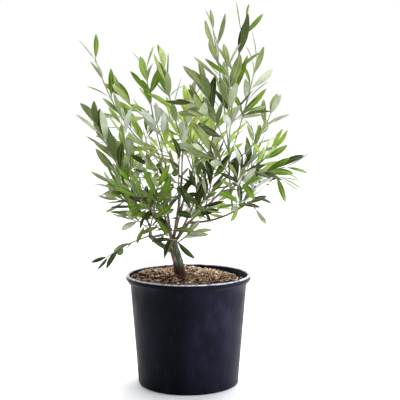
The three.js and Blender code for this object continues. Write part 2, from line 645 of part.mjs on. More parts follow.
const plant = new THREE.Group();
const room = new Room();
const limbs = growLimbs(room);
const stems = growStems(room, limbs);
const sleeves = [belowSoil()];
plant.add(potMesh(), soilMesh());
plant.add(...limbMeshes(limbs, sleeves));
plant.add(...massMeshes(room, stems, sleeves));

export default plant;
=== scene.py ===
"""A young olive in a black nursery pot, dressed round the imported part.

The tables and the growth rule are in millimetres, as the part's source has them, and MM turns them into
metres where a mesh is made. +X is the viewer's right, +Y points away from the viewer and +Z is up.
"""
import json
import math
from itertools import product
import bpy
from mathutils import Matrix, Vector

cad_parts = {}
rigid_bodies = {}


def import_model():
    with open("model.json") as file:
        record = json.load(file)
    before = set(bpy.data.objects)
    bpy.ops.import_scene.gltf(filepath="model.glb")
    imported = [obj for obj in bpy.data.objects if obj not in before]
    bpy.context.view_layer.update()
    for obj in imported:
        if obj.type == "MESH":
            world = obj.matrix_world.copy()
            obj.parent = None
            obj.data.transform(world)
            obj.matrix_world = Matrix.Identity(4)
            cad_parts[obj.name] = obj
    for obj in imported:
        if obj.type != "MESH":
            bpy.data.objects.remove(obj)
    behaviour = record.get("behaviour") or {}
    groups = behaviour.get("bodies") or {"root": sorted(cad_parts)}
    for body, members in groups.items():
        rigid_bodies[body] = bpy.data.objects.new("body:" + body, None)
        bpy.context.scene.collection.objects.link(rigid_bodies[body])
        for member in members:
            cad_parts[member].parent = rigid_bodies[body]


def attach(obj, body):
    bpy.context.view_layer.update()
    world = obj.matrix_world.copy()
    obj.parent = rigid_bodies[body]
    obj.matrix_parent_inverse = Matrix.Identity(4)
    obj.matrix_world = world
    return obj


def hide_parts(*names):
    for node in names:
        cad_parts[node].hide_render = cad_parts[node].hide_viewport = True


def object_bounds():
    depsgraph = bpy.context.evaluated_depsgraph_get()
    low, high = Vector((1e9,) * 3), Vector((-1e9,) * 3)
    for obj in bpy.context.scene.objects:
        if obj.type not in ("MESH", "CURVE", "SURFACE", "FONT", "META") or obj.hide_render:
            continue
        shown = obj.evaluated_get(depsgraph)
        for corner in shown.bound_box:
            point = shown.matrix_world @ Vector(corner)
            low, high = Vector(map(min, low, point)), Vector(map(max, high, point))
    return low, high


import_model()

from types import SimpleNamespace

import bmesh
import bpy
import numpy as np
from mathutils import Vector, noise

CAD_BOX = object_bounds()
MM = 0.001
DEGREE = math.pi / 180
DICE = SimpleNamespace(step=1664525, shift=1013904223, range=4294967296)  # as in the source

# Camera: where the photograph was taken from, its pitch in degrees below level and its range in metres
CAMERA = SimpleNamespace(
    place=(20.3, -1690, 494), pitch=5.8, range=100,
    sensor=36, focal=36 * 977 / 400)  # 977 pixels in a picture 400 wide

# Pot, from its underside up
POT = SimpleNamespace(
    facets=160, sharp=50,  # degrees between two faces, from which their edge is sharp
    wall=2, floor=3, floor_round=4, lift=1.2, slope=3,  # its underside is a little raised
    foot=88, foot_round=3.5, ring=6,  # width of the flat ring that it stands on
    wall_level=6, wall_steps=12, neck=101.5, neck_level=175,  # where its straight wall starts and ends
    lip=109, lip_level=184, lip_round=3, lip_top=4, edge=1.5,  # edge rounds the lip's lower and inner edges
    height=192.5, spread=1.5)  # how much wider the inside is at the soil's level than at the neck
NOTCH = SimpleNamespace(
    count=2, turn=11, width=14, height=32, steps=12, below=2,
    reach=10)  # how far the cut runs to each side of the foot's radius

# Soil
SOIL = SimpleNamespace(
    level=188, radius=102.4, rings=56, spokes=160, foot=4, clear=0.6,  # clear of the pot's inside
    side=((POT.neck, POT.neck_level - 3), (POT.foot, 10)),  # the pot's radius and the level, downwards
    sink=0.6, crown=2.5,  # the most that it stands above its level
    lumps=2, waves=((0.11, 1, 3.7), (0.31, 0.6, 9)),  # pace, share and layer of the lumps
    dip=8, dip_start=-10, dip_run=95, dip_power=1.3,  # how much lower it lies on the right
    heap=2.2, heap_spread=420)  # how much higher it lies round the trunk

# Crumbs and fibres on the soil. Here and for twigs and leaves, a pair of numbers is a range.
CRUMB = SimpleNamespace(
    seed=77, count=9000, margin=3, reach=(0.6, 1.5),
    growth=1.5, rarity=5,  # a few are larger, by up to this share of their reach
    stretch=((1, 2.8), (0.45, 1), (0.3, 0.8)),  # length, breadth and height, of the reach
    knock=(0.75, 1.2), tilt=0.7, lean=0.4, rise=0.45,
    patches=0.07, sorting=0.9, slope=0.56)  # tones gather in patches, and the pale ones at the back
FIBRE = SimpleNamespace(
    count=1400, earth="crumbs_tan", length=(5, 14), inset=0.92, lift=(0.8, 1.8), slope=(-0.15, 0.25),
    bow=((-1.5, 1.5), (-1.5, 1.5), (-0.6, 1)), girth=(0.22, 0.42), sides=4, steps=4)

# Trunk and boughs. A limb starts at along, a share of its parent's length, and runs to its tip. bow is how
# far its middle stands off the straight line, and its radius tapers from foot to end.
TRUNK_START = (-13, 0, SOIL.level)
LIMB_COLUMNS = "name parent along tip bow foot end".split()
LIMBS = [
    ("trunk", None, 0, (-28, 0, 247), (1, 0, 0), 9.4, 8.4),
    ("left_bough", "trunk", 0.74, (-66, -12, 261), (-2, 0, -2), 5.2, 4),
    ("left_riser", "left_bough", 1, (-72, -20, 291), (3, 0, 0), 2.4, 1.9),
    ("left_high", "left_riser", 1, (-96, -42, 348), (-3, 0, -4), 1.9, 1.5),
    ("centre_left_bough", "trunk", 1, (-40, 25, 385), (-4, 0, 0), 2.7, 1.9),
    ("leader", "trunk", 1, (-11, -5, 365), (2, 0, 0), 2.9, 2),
    ("centre_right_bough", "trunk", 0.98, (8, 35, 370), (-2, 0, 0), 2.6, 1.9),
    ("right_bough", "trunk", 0.97, (1, -12, 285), (0, 0, -1), 3.2, 2.5),
    ("right_low_bough", "right_bough", 1, (98, -50, 320), (0, 0, -9), 2.2, 1.5),
    ("right_high_bough", "right_bough", 0.97, (66, 15, 345), (0, 0, -2), 2, 1.5),
    ("right_riser", "right_low_bough", 0.78, (69, -45, 410), (-2, 0, 0), 1.7, 1.4),
    ("back_left_bough", "trunk", 0.9, (-52, 62, 325), (0, 4, -6), 2.5, 1.8),
    ("back_right_bough", "trunk", 0.94, (20, 66, 335), (0, 4, -6), 2.5, 1.8),
]

# Shoots: each is one leafy mass on one stem, which starts and runs as a bough does. Leaves stand in crossed
# pairs from bare (a share of the stem) to the tip. leaf is their length, spread the angle that they lean out
# at and roll the first pair's turn, in degrees. side counts the side twigs, tints names its two leaf colours
# and fine counts the short shoots on each stem or twig. Of the rarer values, fruit is where olives hang, in
# shares of the stem, tip_leaf sizes its last leaves and slender narrows its blades.
SHOOT_COLUMNS = "name parent along tip bow seed roll pairs leaf spread bare side tints fine".split()
SHOOTS = [
    ("low_left", "left_bough", 1, (-136, -50, 231), (0, 0, 4),
     3, 30, 3, 46, 40, 0.45, 0, "deep olive", 1),
    ("lower_left", "left_riser", 0.95, (-122, -32, 388), (-8, 0, -8),
     5, 10, 6, 60, 30, 0.2, 0, "olive green", 6),
    ("upper_left", "left_high", 1, (-150, -60, 452), (-2, 0, -2),
     8, 40, 6, 60, 22, 0.3, 0, "olive deep", 0),
    ("left_whip", "centre_left_bough", 1, (-157, -20, 564), (-11, 0, -17),
     2, 30, 5, 52, 24, 0.42, 0, "green olive", 2),
    ("left_back", "centre_left_bough", 0.9, (-112, 80, 458), (0, 0, 0),
     6, 40, 6, 46, 26, 0.3, 1, "bright sage", 0),
    ("upper_mid_left", "centre_right_bough", 1, (-41, -20, 546), (-5, 0, 0),
     9, 20, 6, 62, 26, 0.35, 0, "green bright", 2),
    ("mid_front", "right_riser", 0.98, (27, -66, 514), (0, 0, -2),
     11, 30, 5, 64, 28, 0.25, 0, "olive deep", 4),
    ("leader_top", "leader", 1, (4, -5, 486), (-4, 0, 0),
     12, 10, 6, 54, 30, 0.25, 1, "sage lime", 1),
    ("centre_up", "centre_right_bough", 0.9, (28, 50, 455), (0, 0, 0),
     14, 70, 4, 50, 30, 0.3, 1, "bright lime", 4),
    ("top_left", "right_riser", 1, (42, -50, 610), (2, 0, 0),
     17, 0, 6, 60, 27, 0.3, 0, "olive green", 1),
    ("top_mid", "right_riser", 0.93, (66, -76, 545), (2, 0, 0),
     18, 40, 4, 62, 22, 0.3, 0, "olive sage", 0),
    ("top_right", "right_riser", 0.9, (98, -24, 634), (-6, 0, 0),
     19, 0, 6, 72, 22, 0.3, 0, "green deep", 2),
    ("top_far_right", "right_riser", 0.86, (117, -6, 562), (2, 0, -4),
     20, 15, 5, 62, 26, 0.45, 0, "green sage", 0),
    ("right_upper", "right_riser", 0.8, (142, 10, 470), (6, 0, -10),
     21, 20, 4, 56, 28, 0.5, 0, "olive green", 0),
    ("right_mid", "right_high_bough", 1, (146, 30, 408), (6, 0, -4),
     23, 60, 4, 56, 22, 0.3, 1, "bright green", 3),
    ("far_right", "right_high_bough", 0.96, (166, -10, 380), (0, 0, 4),
     25, 30, 5, 60, 30, 0.35, 0, "green deep", 4),
    ("right_low", "right_low_bough", 1, (113, -62, 314), (0, 0, 4),
     27, 20, 2, 46, 34, 0.1, 0, "deep olive", 0),
    ("right_inner", "right_riser", 0.35, (92, -58, 388), (4, 0, -2),
     29, 60, 5, 58, 32, 0.12, 0, "deep sage", 4),
    ("front_arch", "right_riser", 0.6, (28, -90, 412), (0, 0, 6),
     30, 80, 4, 60, 28, 0.3, 0, "olive deep", 3),
    ("front_right", "right_bough", 0.8, (30, -88, 340), (0, 0, -6),
     31, 10, 5, 54, 35, 0.4, 1, "deep olive", 3),
    ("front_left", "left_riser", 0.5, (-50, -92, 350), (0, 0, -6),
     34, 40, 5, 56, 35, 0.3, 1, "deep green", 6),
    ("front_centre", "leader", 0.5, (-14, -90, 395), (0, 0, -4),
     35, 30, 6, 56, 32, 0.28, 1, "deep olive", 6),
    ("left_low", "left_riser", 0.35, (-94, -58, 302), (0, 0, 0),
     50, 70, 5, 54, 38, 0.3, 0, "green sage", 1),
    ("centre_low", "centre_left_bough", 0.3, (-60, -52, 335), (0, 0, -4),
     52, 20, 5, 54, 38, 0.35, 1, "olive deep", 8),
    ("right_centre", "right_high_bough", 0.45, (46, -28, 392), (0, 0, -4),
     54, 40, 5, 54, 32, 0.3, 0, "deep green", 6),
    ("back_far_left", "back_left_bough", 1, (-112, 110, 400), (0, 0, -6),
     37, 30, 5, 46, 28, 0.3, 1, "green sage", 3),
    ("back_left", "back_left_bough", 0.9, (-50, 130, 425), (0, 6, -6),
     39, 10, 5, 48, 28, 0.3, 1, "lime bright", 1),
    ("back_centre", "back_right_bough", 0.9, (-5, 105, 465), (0, 6, 0),
     41, 50, 5, 52, 28, 0.4, 1, "bright lime", 2),
    ("back_right", "back_right_bough", 1, (80, 115, 430), (0, 0, -6),
     43, 20, 5, 52, 28, 0.3, 1, "bright sage", 1),
    ("back_tall", "back_right_bough", 0.72, (76, 68, 545), (0, 6, -4),
     56, 35, 6, 58, 26, 0.3, 1, "sage bright", 1),
    ("back_low_left", "back_left_bough", 0.62, (-76, 92, 304), (0, 0, -4),
     58, 15, 4, 48, 36, 0.25, 0, "sage bright", 3),
    ("back_low_right", "back_right_bough", 0.6, (54, 84, 312), (0, 0, -4),
     60, 50, 4, 48, 36, 0.25, 0, "bright sage", 3),
    ("mid_left", "centre_left_bough", 0.97, (-72, -8, 545), (-4, 0, 0),
     62, 25, 5, 58, 30, 0.5, 1, "green bright", 0),
    ("mid_left_inner", "leader", 0.95, (-52, -34, 452), (0, 0, -4),
     64, 60, 5, 52, 30, 0.3, 1, "bright sage", 2),
    ("right_under", "right_low_bough", 0.85, (116, -16, 348), (0, 0, -2),
     66, 30, 5, 54, 38, 0.2, 0, "deep sage", 2),
    ("right_middle", "right_low_bough", 0.9, (84, -76, 366), (0, 0, -3),
     68, 15, 5, 50, 36, 0.2, 0, "green sage", 4),
    ("left_inner", "left_high", 0.7, (-112, -26, 452), (0, 0, -3),
     70, 30, 6, 60, 28, 0.2, 0, "bright sage", 2),
    ("fork_front", "trunk", 0.95, (-34, -34, 292), (0, 0, -2),
     45, 55, 4, 56, 70, 0.4, 0, "deep olive", 6),
    ("fork_right", "trunk", 0.92, (4, -12, 268), (0, 0, -1),
     47, 35, 3, 50, 45, 0.5, 0, "sage olive", 0),
]
SHOOT_DEFAULTS = dict(fruit=(), tip_leaf=0.95, slender=1)
SHOOT_EXTRAS = {
    "low_left": dict(fruit=(0.62,)),
    "left_whip": dict(slender=0.8),
    "top_left": dict(tip_leaf=0.8, slender=0.8),
    "top_right": dict(tip_leaf=0.42, slender=0.66),
    "top_far_right": dict(slender=0.8),
    "front_left": dict(fruit=(0.75,)),
    "front_centre": dict(fruit=(0.6, 0.9)),
}

# Room: a twig or leaf is tried again, then left out, where it would touch another. It is tested by balls.
TRIES = 4
CELL = 8
TWIG_ROOM = 1.2
LEAF_ROOM = 2.2
BALLS = SimpleNamespace(on_rod=3, on_leaf=4, row=3.5, inset=0.35, lean=0.92, fullness=0.8)
CROWN_REACH = ((-188, -150, 200), (208, 190, 662))
PART_REACH = [[value / MM for value in corner] for corner in CAD_BOX]  # the finer growth keeps within it
RUNS_ACROSS = 0.85  # a reach this much along x measures its turns from upright

# Twigs. start and run or stop say where they stand, rooted how many of their first balls may touch the
# parent and leaf how long their leaves are, of the parent's.
STEM_FOOT = 1.4
STEM_END = 0.8
LEAF_TURN = 137.5
SIDE = SimpleNamespace(
    start=0.22, run=0.5, wander=25, lean=(36, 52), length=lambda roll: 60 * roll(0.8, 1.15),
    sag=lambda roll: -0.06, foot=1, end=0.7, bare=0.25, pairs=4, leaf=0.85, rooted=3,
    leaf_room=LEAF_ROOM, reach=CROWN_REACH)
FINE = SimpleNamespace(  # short shoots with small leaves, in the axils along stems and side twigs
    seed=1000, start=0.12, stop=0.8, stagger=(0.2, 0.8), wander=60, lean=(28, 62),
    length=lambda roll: roll(14, 34), sag=lambda roll: roll(-0.08, 0.02), foot=0.6, end=0.4, bare=0.4,
    pairs=(2, 3), leaf=0.9, tip_leaf=0.9, rooted=2, leaf_room=LEAF_ROOM * 0.75, reach=PART_REACH)

# Leaves and olives, by the source's rule
LIGHT = (0.1, -0.45, 0.9)
LEAF = SimpleNamespace(
    lean=1.25, lean_ease=0.55, lean_wander=8, pair_wander=14, last_pair=0.995,  # the lean eases to the tip
    end=0.85, middle=0.15, length=(0.85, 1.1), width=(0.21, 0.27),  # a twig's middle has its longest leaves
    skyward=0.55, skywards=(0.3, 1.4), roll=55, arch=32, arches=(-0.6, 1.2), straight=0.001)
OLIVE = SimpleNamespace(
    length=14, width=10.5, stalk=4, out=0.6, down=0.8, rings=14, sides=20, point=0.5, least=0.05,
    fullness=0.92, taper=0.06, stalk_girth=0.6, stalk_steps=4)

# Shapes of the finer pieces
DOME = ((0.5, 0.75), (0.8, 0.3))  # a rod's rounded end: steps past it and widths, of its radius
TWIG = SimpleNamespace(sides=8, step=5, least=6, swell=0.35, node=1.6)  # thicker where leaves stand
BLADE = SimpleNamespace(
    seed=4242, sharp=75, fold=(0.05, 0.32), curl=(0.08, 0.3), twist=22, sabre=0.07,
    full=0.97, fullness=0.72, lean=1.08,  # how far its widest place lies towards its tip
    thick=0.5, edge=0.35, thickening=1.6, tip=0.12, stalk=0.08, stalk_half=0.6, rib=0.32, rib_share=0.35,
    stations=(0, 0.07, 0.12, 0.2, 0.32, 0.46, 0.61, 0.76, 0.88, 0.95, 1))
UPPER, UNDER, RIB = 0, 1, 2  # a leaf piece's materials
BLADE_SLOTS = (UPPER, UPPER, RIB, UPPER, UPPER, UNDER, UNDER, UNDER, UNDER)  # round a blade's section
LIMB = SimpleNamespace(
    step=2.5, least=8, sides=16, trunk_sides=32, sink=7,  # how far the trunk runs on below the soil
    flare=1, flare_power=5, collar=0.5, collar_reach=7)  # a bough is thicker where it leaves its parent
WOOD_VOXEL = 0.75
AXIS_POINTS = 48
BARK_RELIEF = 0.1  # of the limb's radius
BARK_WAVES = ((0.42, 0.07, 0, 1.1), (0.25, 0.2, 40, 0.7))  # pace across and along, start and height

# Colours as seen on a screen: a leaf's face, its underside and its midrib
LEAF_TONES = {
    "deep": ((42, 56, 1), (76, 90, 44), (92, 110, 56)),
    "green": ((100, 132, 28), (144, 158, 104), (158, 176, 98)),
    "olive": ((122, 133, 78), (164, 173, 140), (174, 185, 140)),
    "bright": ((148, 176, 70), (184, 197, 128), (196, 210, 134)),
    # Painted light: the lime tint paints the light that shines through backlit leaves into their face,
    # underside and midrib
    "backlit_lime": ((184, 206, 88), (202, 214, 136), (214, 225, 148)),
    "sage": ((171, 178, 155), (201, 206, 193), (207, 212, 191)),
}
LEAF_PARTS = ("upper", "under", "rib")
FIRST_TINT = 0.64  # of a spray's leaves
TWIG_TONES = {"twigs_green": (136, 142, 112), "twigs_brown": (112, 96, 78)}
BROWN_TWIGS = ("deep", "sage")  # sprays of these tints stand on browner twigs
STALK_TONE = (112, 124, 70)
SOIL_TONE = (26, 16, 10)
EARTHS = {  # each tone, and the running total of the shares
    "crumbs_dark": ((28, 14, 8), 0.5),
    "crumbs_brown": ((90, 62, 46), 0.74),
    "crumbs_tan": ((184, 150, 120), 0.93),
    "crumbs_pale": ((236, 214, 184), 1),
}

# Ramps: where along a noise each tone stands, and the tone as seen on a screen
PLASTIC_OWN_TONE = ((0.35, (4, 6, 13)), (0.55, (7, 9, 19)), (0.75, (14, 16, 31)))
# Painted light: a lighter blue-grey copy of the pot's tone, laid over its right side
PLASTIC_PAINTED_LIGHT = ((0.35, (20, 21, 34)), (0.55, (28, 29, 44)), (0.75, (44, 45, 64)))
PLASTIC_SCUFF = ((0.4, (44, 46, 60)), (0.7, (96, 98, 112)))
# Painted highlight: the near-white tones of a band along the top of the pot's lip
PLASTIC_PAINTED_HIGHLIGHT = ((0.3, (104, 106, 114)), (0.58, (214, 216, 222)))
BARK_GREEN = ((0.3, (50, 64, 48)), (0.52, (78, 94, 78)), (0.7, (116, 124, 104)))
BARK_RED = ((0.3, (62, 38, 32)), (0.48, (104, 74, 66)), (0.58, (140, 116, 108)), (0.66, (214, 200, 194)))
BARK_BROWN = ((0.3, (66, 54, 42)), (0.52, (110, 96, 80)), (0.72, (154, 140, 122)))
BARK_FOOT = ((0.3, (26, 14, 4)), (0.55, (62, 38, 20)), (0.72, (116, 78, 52)))
OLIVE_SKIN = ((0.4, (66, 92, 36)), (0.62, (84, 110, 46)), (0.72, (150, 168, 96)))

# Where looks change, in metres: from the left to the right of the pot, and up its lip and the trunk
# Painted light: across this span, from left to right, the pot is painted lighter
PAINTED_LIGHT_SPAN = (-0.02, 0.09)
# Painted highlight: the band up the lip's top that is painted pale
LIP_HIGHLIGHT_BAND = ((POT.height - 2) * MM, (POT.height - 1.2) * MM)
TRUNK_FOOT = (0.2, 0.216)
TRUNK_FORK = (0.236, 0.262)

# Mottled looks: roughness and gloss, the scale and detail of the patches, where along them the tone is
# lighter or darker and by what share, and the relief's scale, detail, strength and depth
MOTTLED = {
    "earth": (0.95, 0.12, (420, 4), ((0.3, 0.5), (0.5, 0.95), (0.72, 1.35)), (900, 3, 0.5, 0.6)),
    "twig": (0.62, 0.35, (160, 3), ((0.32, 0.8), (0.68, 1.15)), (900, 2, 0.25, 0.3)),
    "upper": (0.42, 0.16, (46, 2), ((0.35, 0.86), (0.65, 1.12)), (620, 2, 0.1, 0.25)),
    "under": (0.72, 0.25, (46, 2), ((0.35, 0.92), (0.65, 1.06)), (800, 2, 0.06, 0.25)),
    "rib": (0.5, 0.35, (90, 2), ((0.35, 0.92), (0.65, 1.05)), None),
}

# Studio. A lamp has its place, aim, width and height in metres, its power in watts and its tone.
WORLD_LIGHT = 0.5
OVERHEAD = SimpleNamespace(light=3, spread=45, lean=(-24, 4, 0))
FLOOR_REACH = 20000
FLOOR_DROP = 0.2
WHITE = (1, 1, 1)
LAMPS = {
    "backdrop": ((0, 2.6, 1.3), (0, 0, 1.3), 5, 2.6, 44, WHITE),
    "left_edge": ((-1.5, 1.1, 0.45), (0, 0, 0.2), 0.7, 1.2, 8, (0.76, 0.8, 1)),
    "right_edge": ((1.7, -0.4, 0.8), (0, 0, 0.2), 1.5, 1.2, 30, (0.86, 0.9, 1)),
    "front": ((1.5, -1.7, 1.3), (0, 0, 0.3), 1.2, 1.2, 6, WHITE),
}


def add(a, b):
    return (a[0] + b[0], a[1] + b[1], a[2] + b[2])


def sub(a, b):
    return (a[0] - b[0], a[1] - b[1], a[2] - b[2])


def mul(a, k):
    return (a[0] * k, a[1] * k, a[2] * k)


def dot(a, b):
    return a[0] * b[0] + a[1] * b[1] + a[2] * b[2]


def cross(a, b):
    return (a[1] * b[2] - a[2] * b[1], a[2] * b[0] - a[0] * b[2], a[0] * b[1] - a[1] * b[0])


def size(a):
    return math.sqrt(dot(a, a))


def unit(a):
    return mul(a, 1 / size(a))


def between(low, high, share):
    return low + (high - low) * share


def turned(a, b, angle):
    """The direction at an angle from a towards b, which are square to each other."""
    return add(mul(a, math.cos(angle)), mul(b, math.sin(angle)))


def square_to(way, direction):
    """The part of a vector that is square to a direction, as a direction."""
    return unit(sub(way, mul(direction, dot(way, direction))))


def make_dice(seed):
    """A repeatable dice: the same seed always rolls the same run of numbers."""
    state = [seed]

    def roll(low, high):
        state[0] = (state[0] * DICE.step + DICE.shift) % DICE.range
        return low + (high - low) * state[0] / DICE.range

    roll(0, 1)
    return roll


class Reach:
    """The centre line of a limb, stem or twig: a straight reach with one bow in it."""

    def __init__(self, start, tip, bow):
        self.start, self.bow = start, bow
        self.chord = sub(tip, start)
        self.span = size(self.chord)
        runs_across = abs(self.chord[0]) > RUNS_ACROSS * self.span
        self.reference = (0, 0, 1) if runs_across else (1, 0, 0)

    def point(self, t):
        return add(add(self.start, mul(self.chord, t)), mul(self.bow, 4 * t * (1 - t)))

    def frame(self, t):
        heading = unit(add(self.chord, mul(self.bow, 4 * (1 - 2 * t))))
        side = square_to(self.reference, heading)
        return heading, side, cross(heading, side)


class Room:
    """Where twigs and leaves already are, as small balls in a grid of cells."""

    def __init__(self):
        self.cells = {}

    def cell(self, point):
        return tuple(math.floor(value / CELL) for value in point)

    def take(self, balls, owner):
        for centre, radius in balls:
            self.cells.setdefault(self.cell(centre), []).append((centre, radius, owner))

    def is_free(self, balls, owner):
        for centre, radius in balls:
            for cell in product(*((i - 1, i, i + 1) for i in self.cell(centre))):
                for other, room, other_owner in self.cells.get(cell, ()):
                    if other_owner != owner and size(sub(centre, other)) < radius + room:
                        return False
        return True


def is_within(point, reach):
    return all(low <= value <= high for low, value, high in zip(reach[0], point, reach[1]))


def rod_balls(curve, foot, end):
    steps = math.ceil(curve.span / BALLS.on_rod)
    return [(curve.point(i / steps), between(foot, end, i / steps) + TWIG_ROOM) for i in range(steps + 1)]


def leaf_point(leaf, s):
    """A point on a blade's midrib, s from 0 at the root to 1 at the tip."""
    arch = leaf.arch
    is_flat = abs(arch) < LEAF.straight
    ahead = s if is_flat else math.sin(arch * s) / arch
    down = 0 if is_flat else (1 - math.cos(arch * s)) / arch
    along = mul(leaf.way, ahead * leaf.length)
    return add(add(leaf.root, along), mul(leaf.up, -down * leaf.length))


def leaf_balls(leaf, room):
    balls = []
    steps = math.ceil(leaf.length / BALLS.on_leaf)
    across = cross(leaf.way, leaf.up)
    for i in range(1, steps + 1):
        s = i / steps
        middle = leaf_point(leaf, s)
        fullness = math.sin(math.pi * s**BALLS.lean) ** BALLS.fullness if i < steps else 0
        half = leaf.width / 2 * fullness
        rows = math.ceil(half / BALLS.row)
        balls.append((middle, room))
        for row in range(1, rows + 1):
            offset = half * row / (rows + BALLS.inset)
            balls.append((add(middle, mul(across, offset)), room))
            balls.append((add(middle, mul(across, -offset)), room))
    return balls


def make_leaf(twig, roll, t, share, turn, leaf_size):
    """One leaf: it leans out from its twig at turn, more so near the twig's foot, and turns to the light."""
    heading, side, back = twig.curve.frame(t)
    lean = twig.spread * (LEAF.lean - LEAF.lean_ease * share) + roll(-LEAF.lean_wander, LEAF.lean_wander)
    way = unit(turned(heading, turned(side, back, turn), lean * DEGREE))
    length = leaf_size * (LEAF.end + LEAF.middle * math.sin(math.pi * share)) * roll(*LEAF.length)
    skyward = LEAF.skyward * roll(*LEAF.skywards)
    lit = add(mul(square_to(heading, way), 1 - skyward), mul(square_to(LIGHT, way), skyward))
    flat = square_to(lit, way)
    up = turned(flat, cross(way, flat), roll(-LEAF.roll, LEAF.roll) * DEGREE)
    arch = LEAF.arch * roll(*LEAF.arches) * DEGREE
    width = length * roll(*LEAF.width)
    return SimpleNamespace(root=twig.curve.point(t), way=way, up=up, length=length, width=width, arch=arch,
                           tints=twig.tints, slender=twig.slender)


def grow_leaves(room, twig, roll):
    leaves = []
    last = twig.pairs - 1
    for pair in range(last + 1):
        share = pair / last
        t = between(twig.bare, LEAF.last_pair, share)
        leaf_size = twig.leaf * (twig.tip_leaf if pair == last else 1)
        for half_turn in (0, 180):
            for attempt in range(TRIES):
                wander = roll(-LEAF.pair_wander, LEAF.pair_wander) * (1 + attempt)
                turn = (twig.roll + 90 * pair + half_turn + wander) * DEGREE
                leaf = make_leaf(twig, roll, t, share, turn, leaf_size)
                balls = leaf_balls(leaf, twig.leaf_room)
                if is_within(leaf_point(leaf, 1), twig.reach) and room.is_free(balls, twig.name):
                    room.take(balls, twig.name)
                    leaves.append(leaf)
                    break
    return leaves


def with_values(base, **values):
    """A copy of a shoot or twig with values added or changed."""
    return SimpleNamespace(**{**vars(base), **values})


def try_twig(room, parent, roll, name, t, turn, kind):
    """A twig that leans out from t of its parent, near turn, or None where there is no room for it."""
    for attempt in range(TRIES):
        heading, side, back = parent.curve.frame(t)
        wander = roll(-kind.wander, kind.wander) * (1 + attempt)
        outward = turned(side, back, (turn + wander) * DEGREE)
        way = unit(turned(heading, outward, roll(*kind.lean) * DEGREE))
        length = kind.length(roll)
        start = parent.curve.point(t)
        curve = Reach(start, add(start, mul(way, length)), (0, 0, kind.sag(roll) * length))
        balls = rod_balls(curve, kind.foot, kind.end)
        if is_within(curve.point(1), kind.reach) and room.is_free(balls[kind.rooted:], name):
            room.take(balls, name)
            return with_values(parent, name=name, curve=curve, foot=kind.foot, end=kind.end, bare=kind.bare,
                               leaf=parent.leaf * kind.leaf, leaf_room=kind.leaf_room, reach=kind.reach)
    return None


def grow_side_twigs(room, stem, roll):
    twigs = []
    for j in range(stem.side):
        t = SIDE.start + SIDE.run * (j + 0.5) / stem.side
        turn = stem.roll + LEAF_TURN * (j + 1)
        twig = try_twig(room, stem, roll, f"{stem.name}_{j}", t, turn, SIDE)
        if twig:
            twigs.append(with_values(twig, pairs=SIDE.pairs, roll=roll(0, 90), tints=stem.tints[::-1]))
    return twigs


def grow_olives(room, stem, roll):
    olives = []
    for t in stem.fruit:
        for _ in range(TRIES):
            turn = roll(0, 360) * DEGREE
            way = (OLIVE.out * math.cos(turn), OLIVE.out * math.sin(turn), -OLIVE.down)
            root = stem.curve.point(t)
            centre = add(root, mul(way, OLIVE.stalk + OLIVE.length / 2))
            balls = [(centre, OLIVE.length / 2)]
            if room.is_free(balls, stem.name):
                room.take(balls, stem.name)
                olives.append(SimpleNamespace(root=root, way=way, centre=centre))
                break
    return olives


def grow_fine_shoots(room, parent, roll):
    """Short shoots in the axils of a stem or side twig, each with a few small leaves."""
    twigs, leaves = [], []
    for j in range(parent.fine):
        t = between(FINE.start, FINE.stop, (j + roll(*FINE.stagger)) / parent.fine)
        twig = try_twig(room, parent, roll, f"{parent.name}_fine_{j}", t, LEAF_TURN * j, FINE)
        if twig:
            pairs = round(roll(*FINE.pairs))
            twig = with_values(twig, pairs=pairs, roll=roll(0, 90), tip_leaf=FINE.tip_leaf)
            twigs.append(twig)
            leaves += grow_leaves(room, twig, roll)
    return twigs, leaves


def read_shoots():
    """The rows of SHOOTS by name of column, with their rarer values and their two tints apart."""
    shoots = []
    for row in SHOOTS:
        shoot = SimpleNamespace(**SHOOT_DEFAULTS, **dict(zip(SHOOT_COLUMNS, row)))
        extras = SHOOT_EXTRAS.get(shoot.name, {})
        shoots.append(with_values(shoot, **extras, tints=shoot.tints.split()))
    return shoots


def grow_plant(shoots):
    """Every limb, twig, leaf and olive, by the source's rule, and then the finer shoots."""
    room, limbs, stems = Room(), {}, []
    for row in LIMBS:
        limb = SimpleNamespace(**dict(zip(LIMB_COLUMNS, row)))
        start = limbs[limb.parent].curve.point(limb.along) if limb.parent else TRUNK_START
        limb.curve = Reach(start, limb.tip, limb.bow)
        limbs[limb.name] = limb
        room.take(rod_balls(limb.curve, limb.foot, limb.end), limb.name)
    for shoot in shoots:
        start = limbs[shoot.parent].curve.point(shoot.along)
        curve = Reach(start, shoot.tip, shoot.bow)
        room.take(rod_balls(curve, STEM_FOOT, STEM_END), shoot.name)
        stems.append(with_values(shoot, curve=curve, foot=STEM_FOOT, end=STEM_END,
                                 leaf_room=LEAF_ROOM, reach=CROWN_REACH))
    sprays, olives = [], []
    for stem in stems:
        roll = make_dice(stem.seed)
        sprays.append((roll, [stem, *grow_side_twigs(room, stem, roll)]))
        olives += grow_olives(room, stem, roll)
    twigs = [twig for _, spray in sprays for twig in spray]
    leaves = [leaf for roll, spray in sprays for twig in spray for leaf in grow_leaves(room, twig, roll)]
    for i, parent in enumerate(list(twigs)):
        fine_twigs, fine_leaves = grow_fine_shoots(room, parent, make_dice(FINE.seed + i))
        twigs += fine_twigs
        leaves += fine_leaves
    return limbs, twigs, leaves, olives


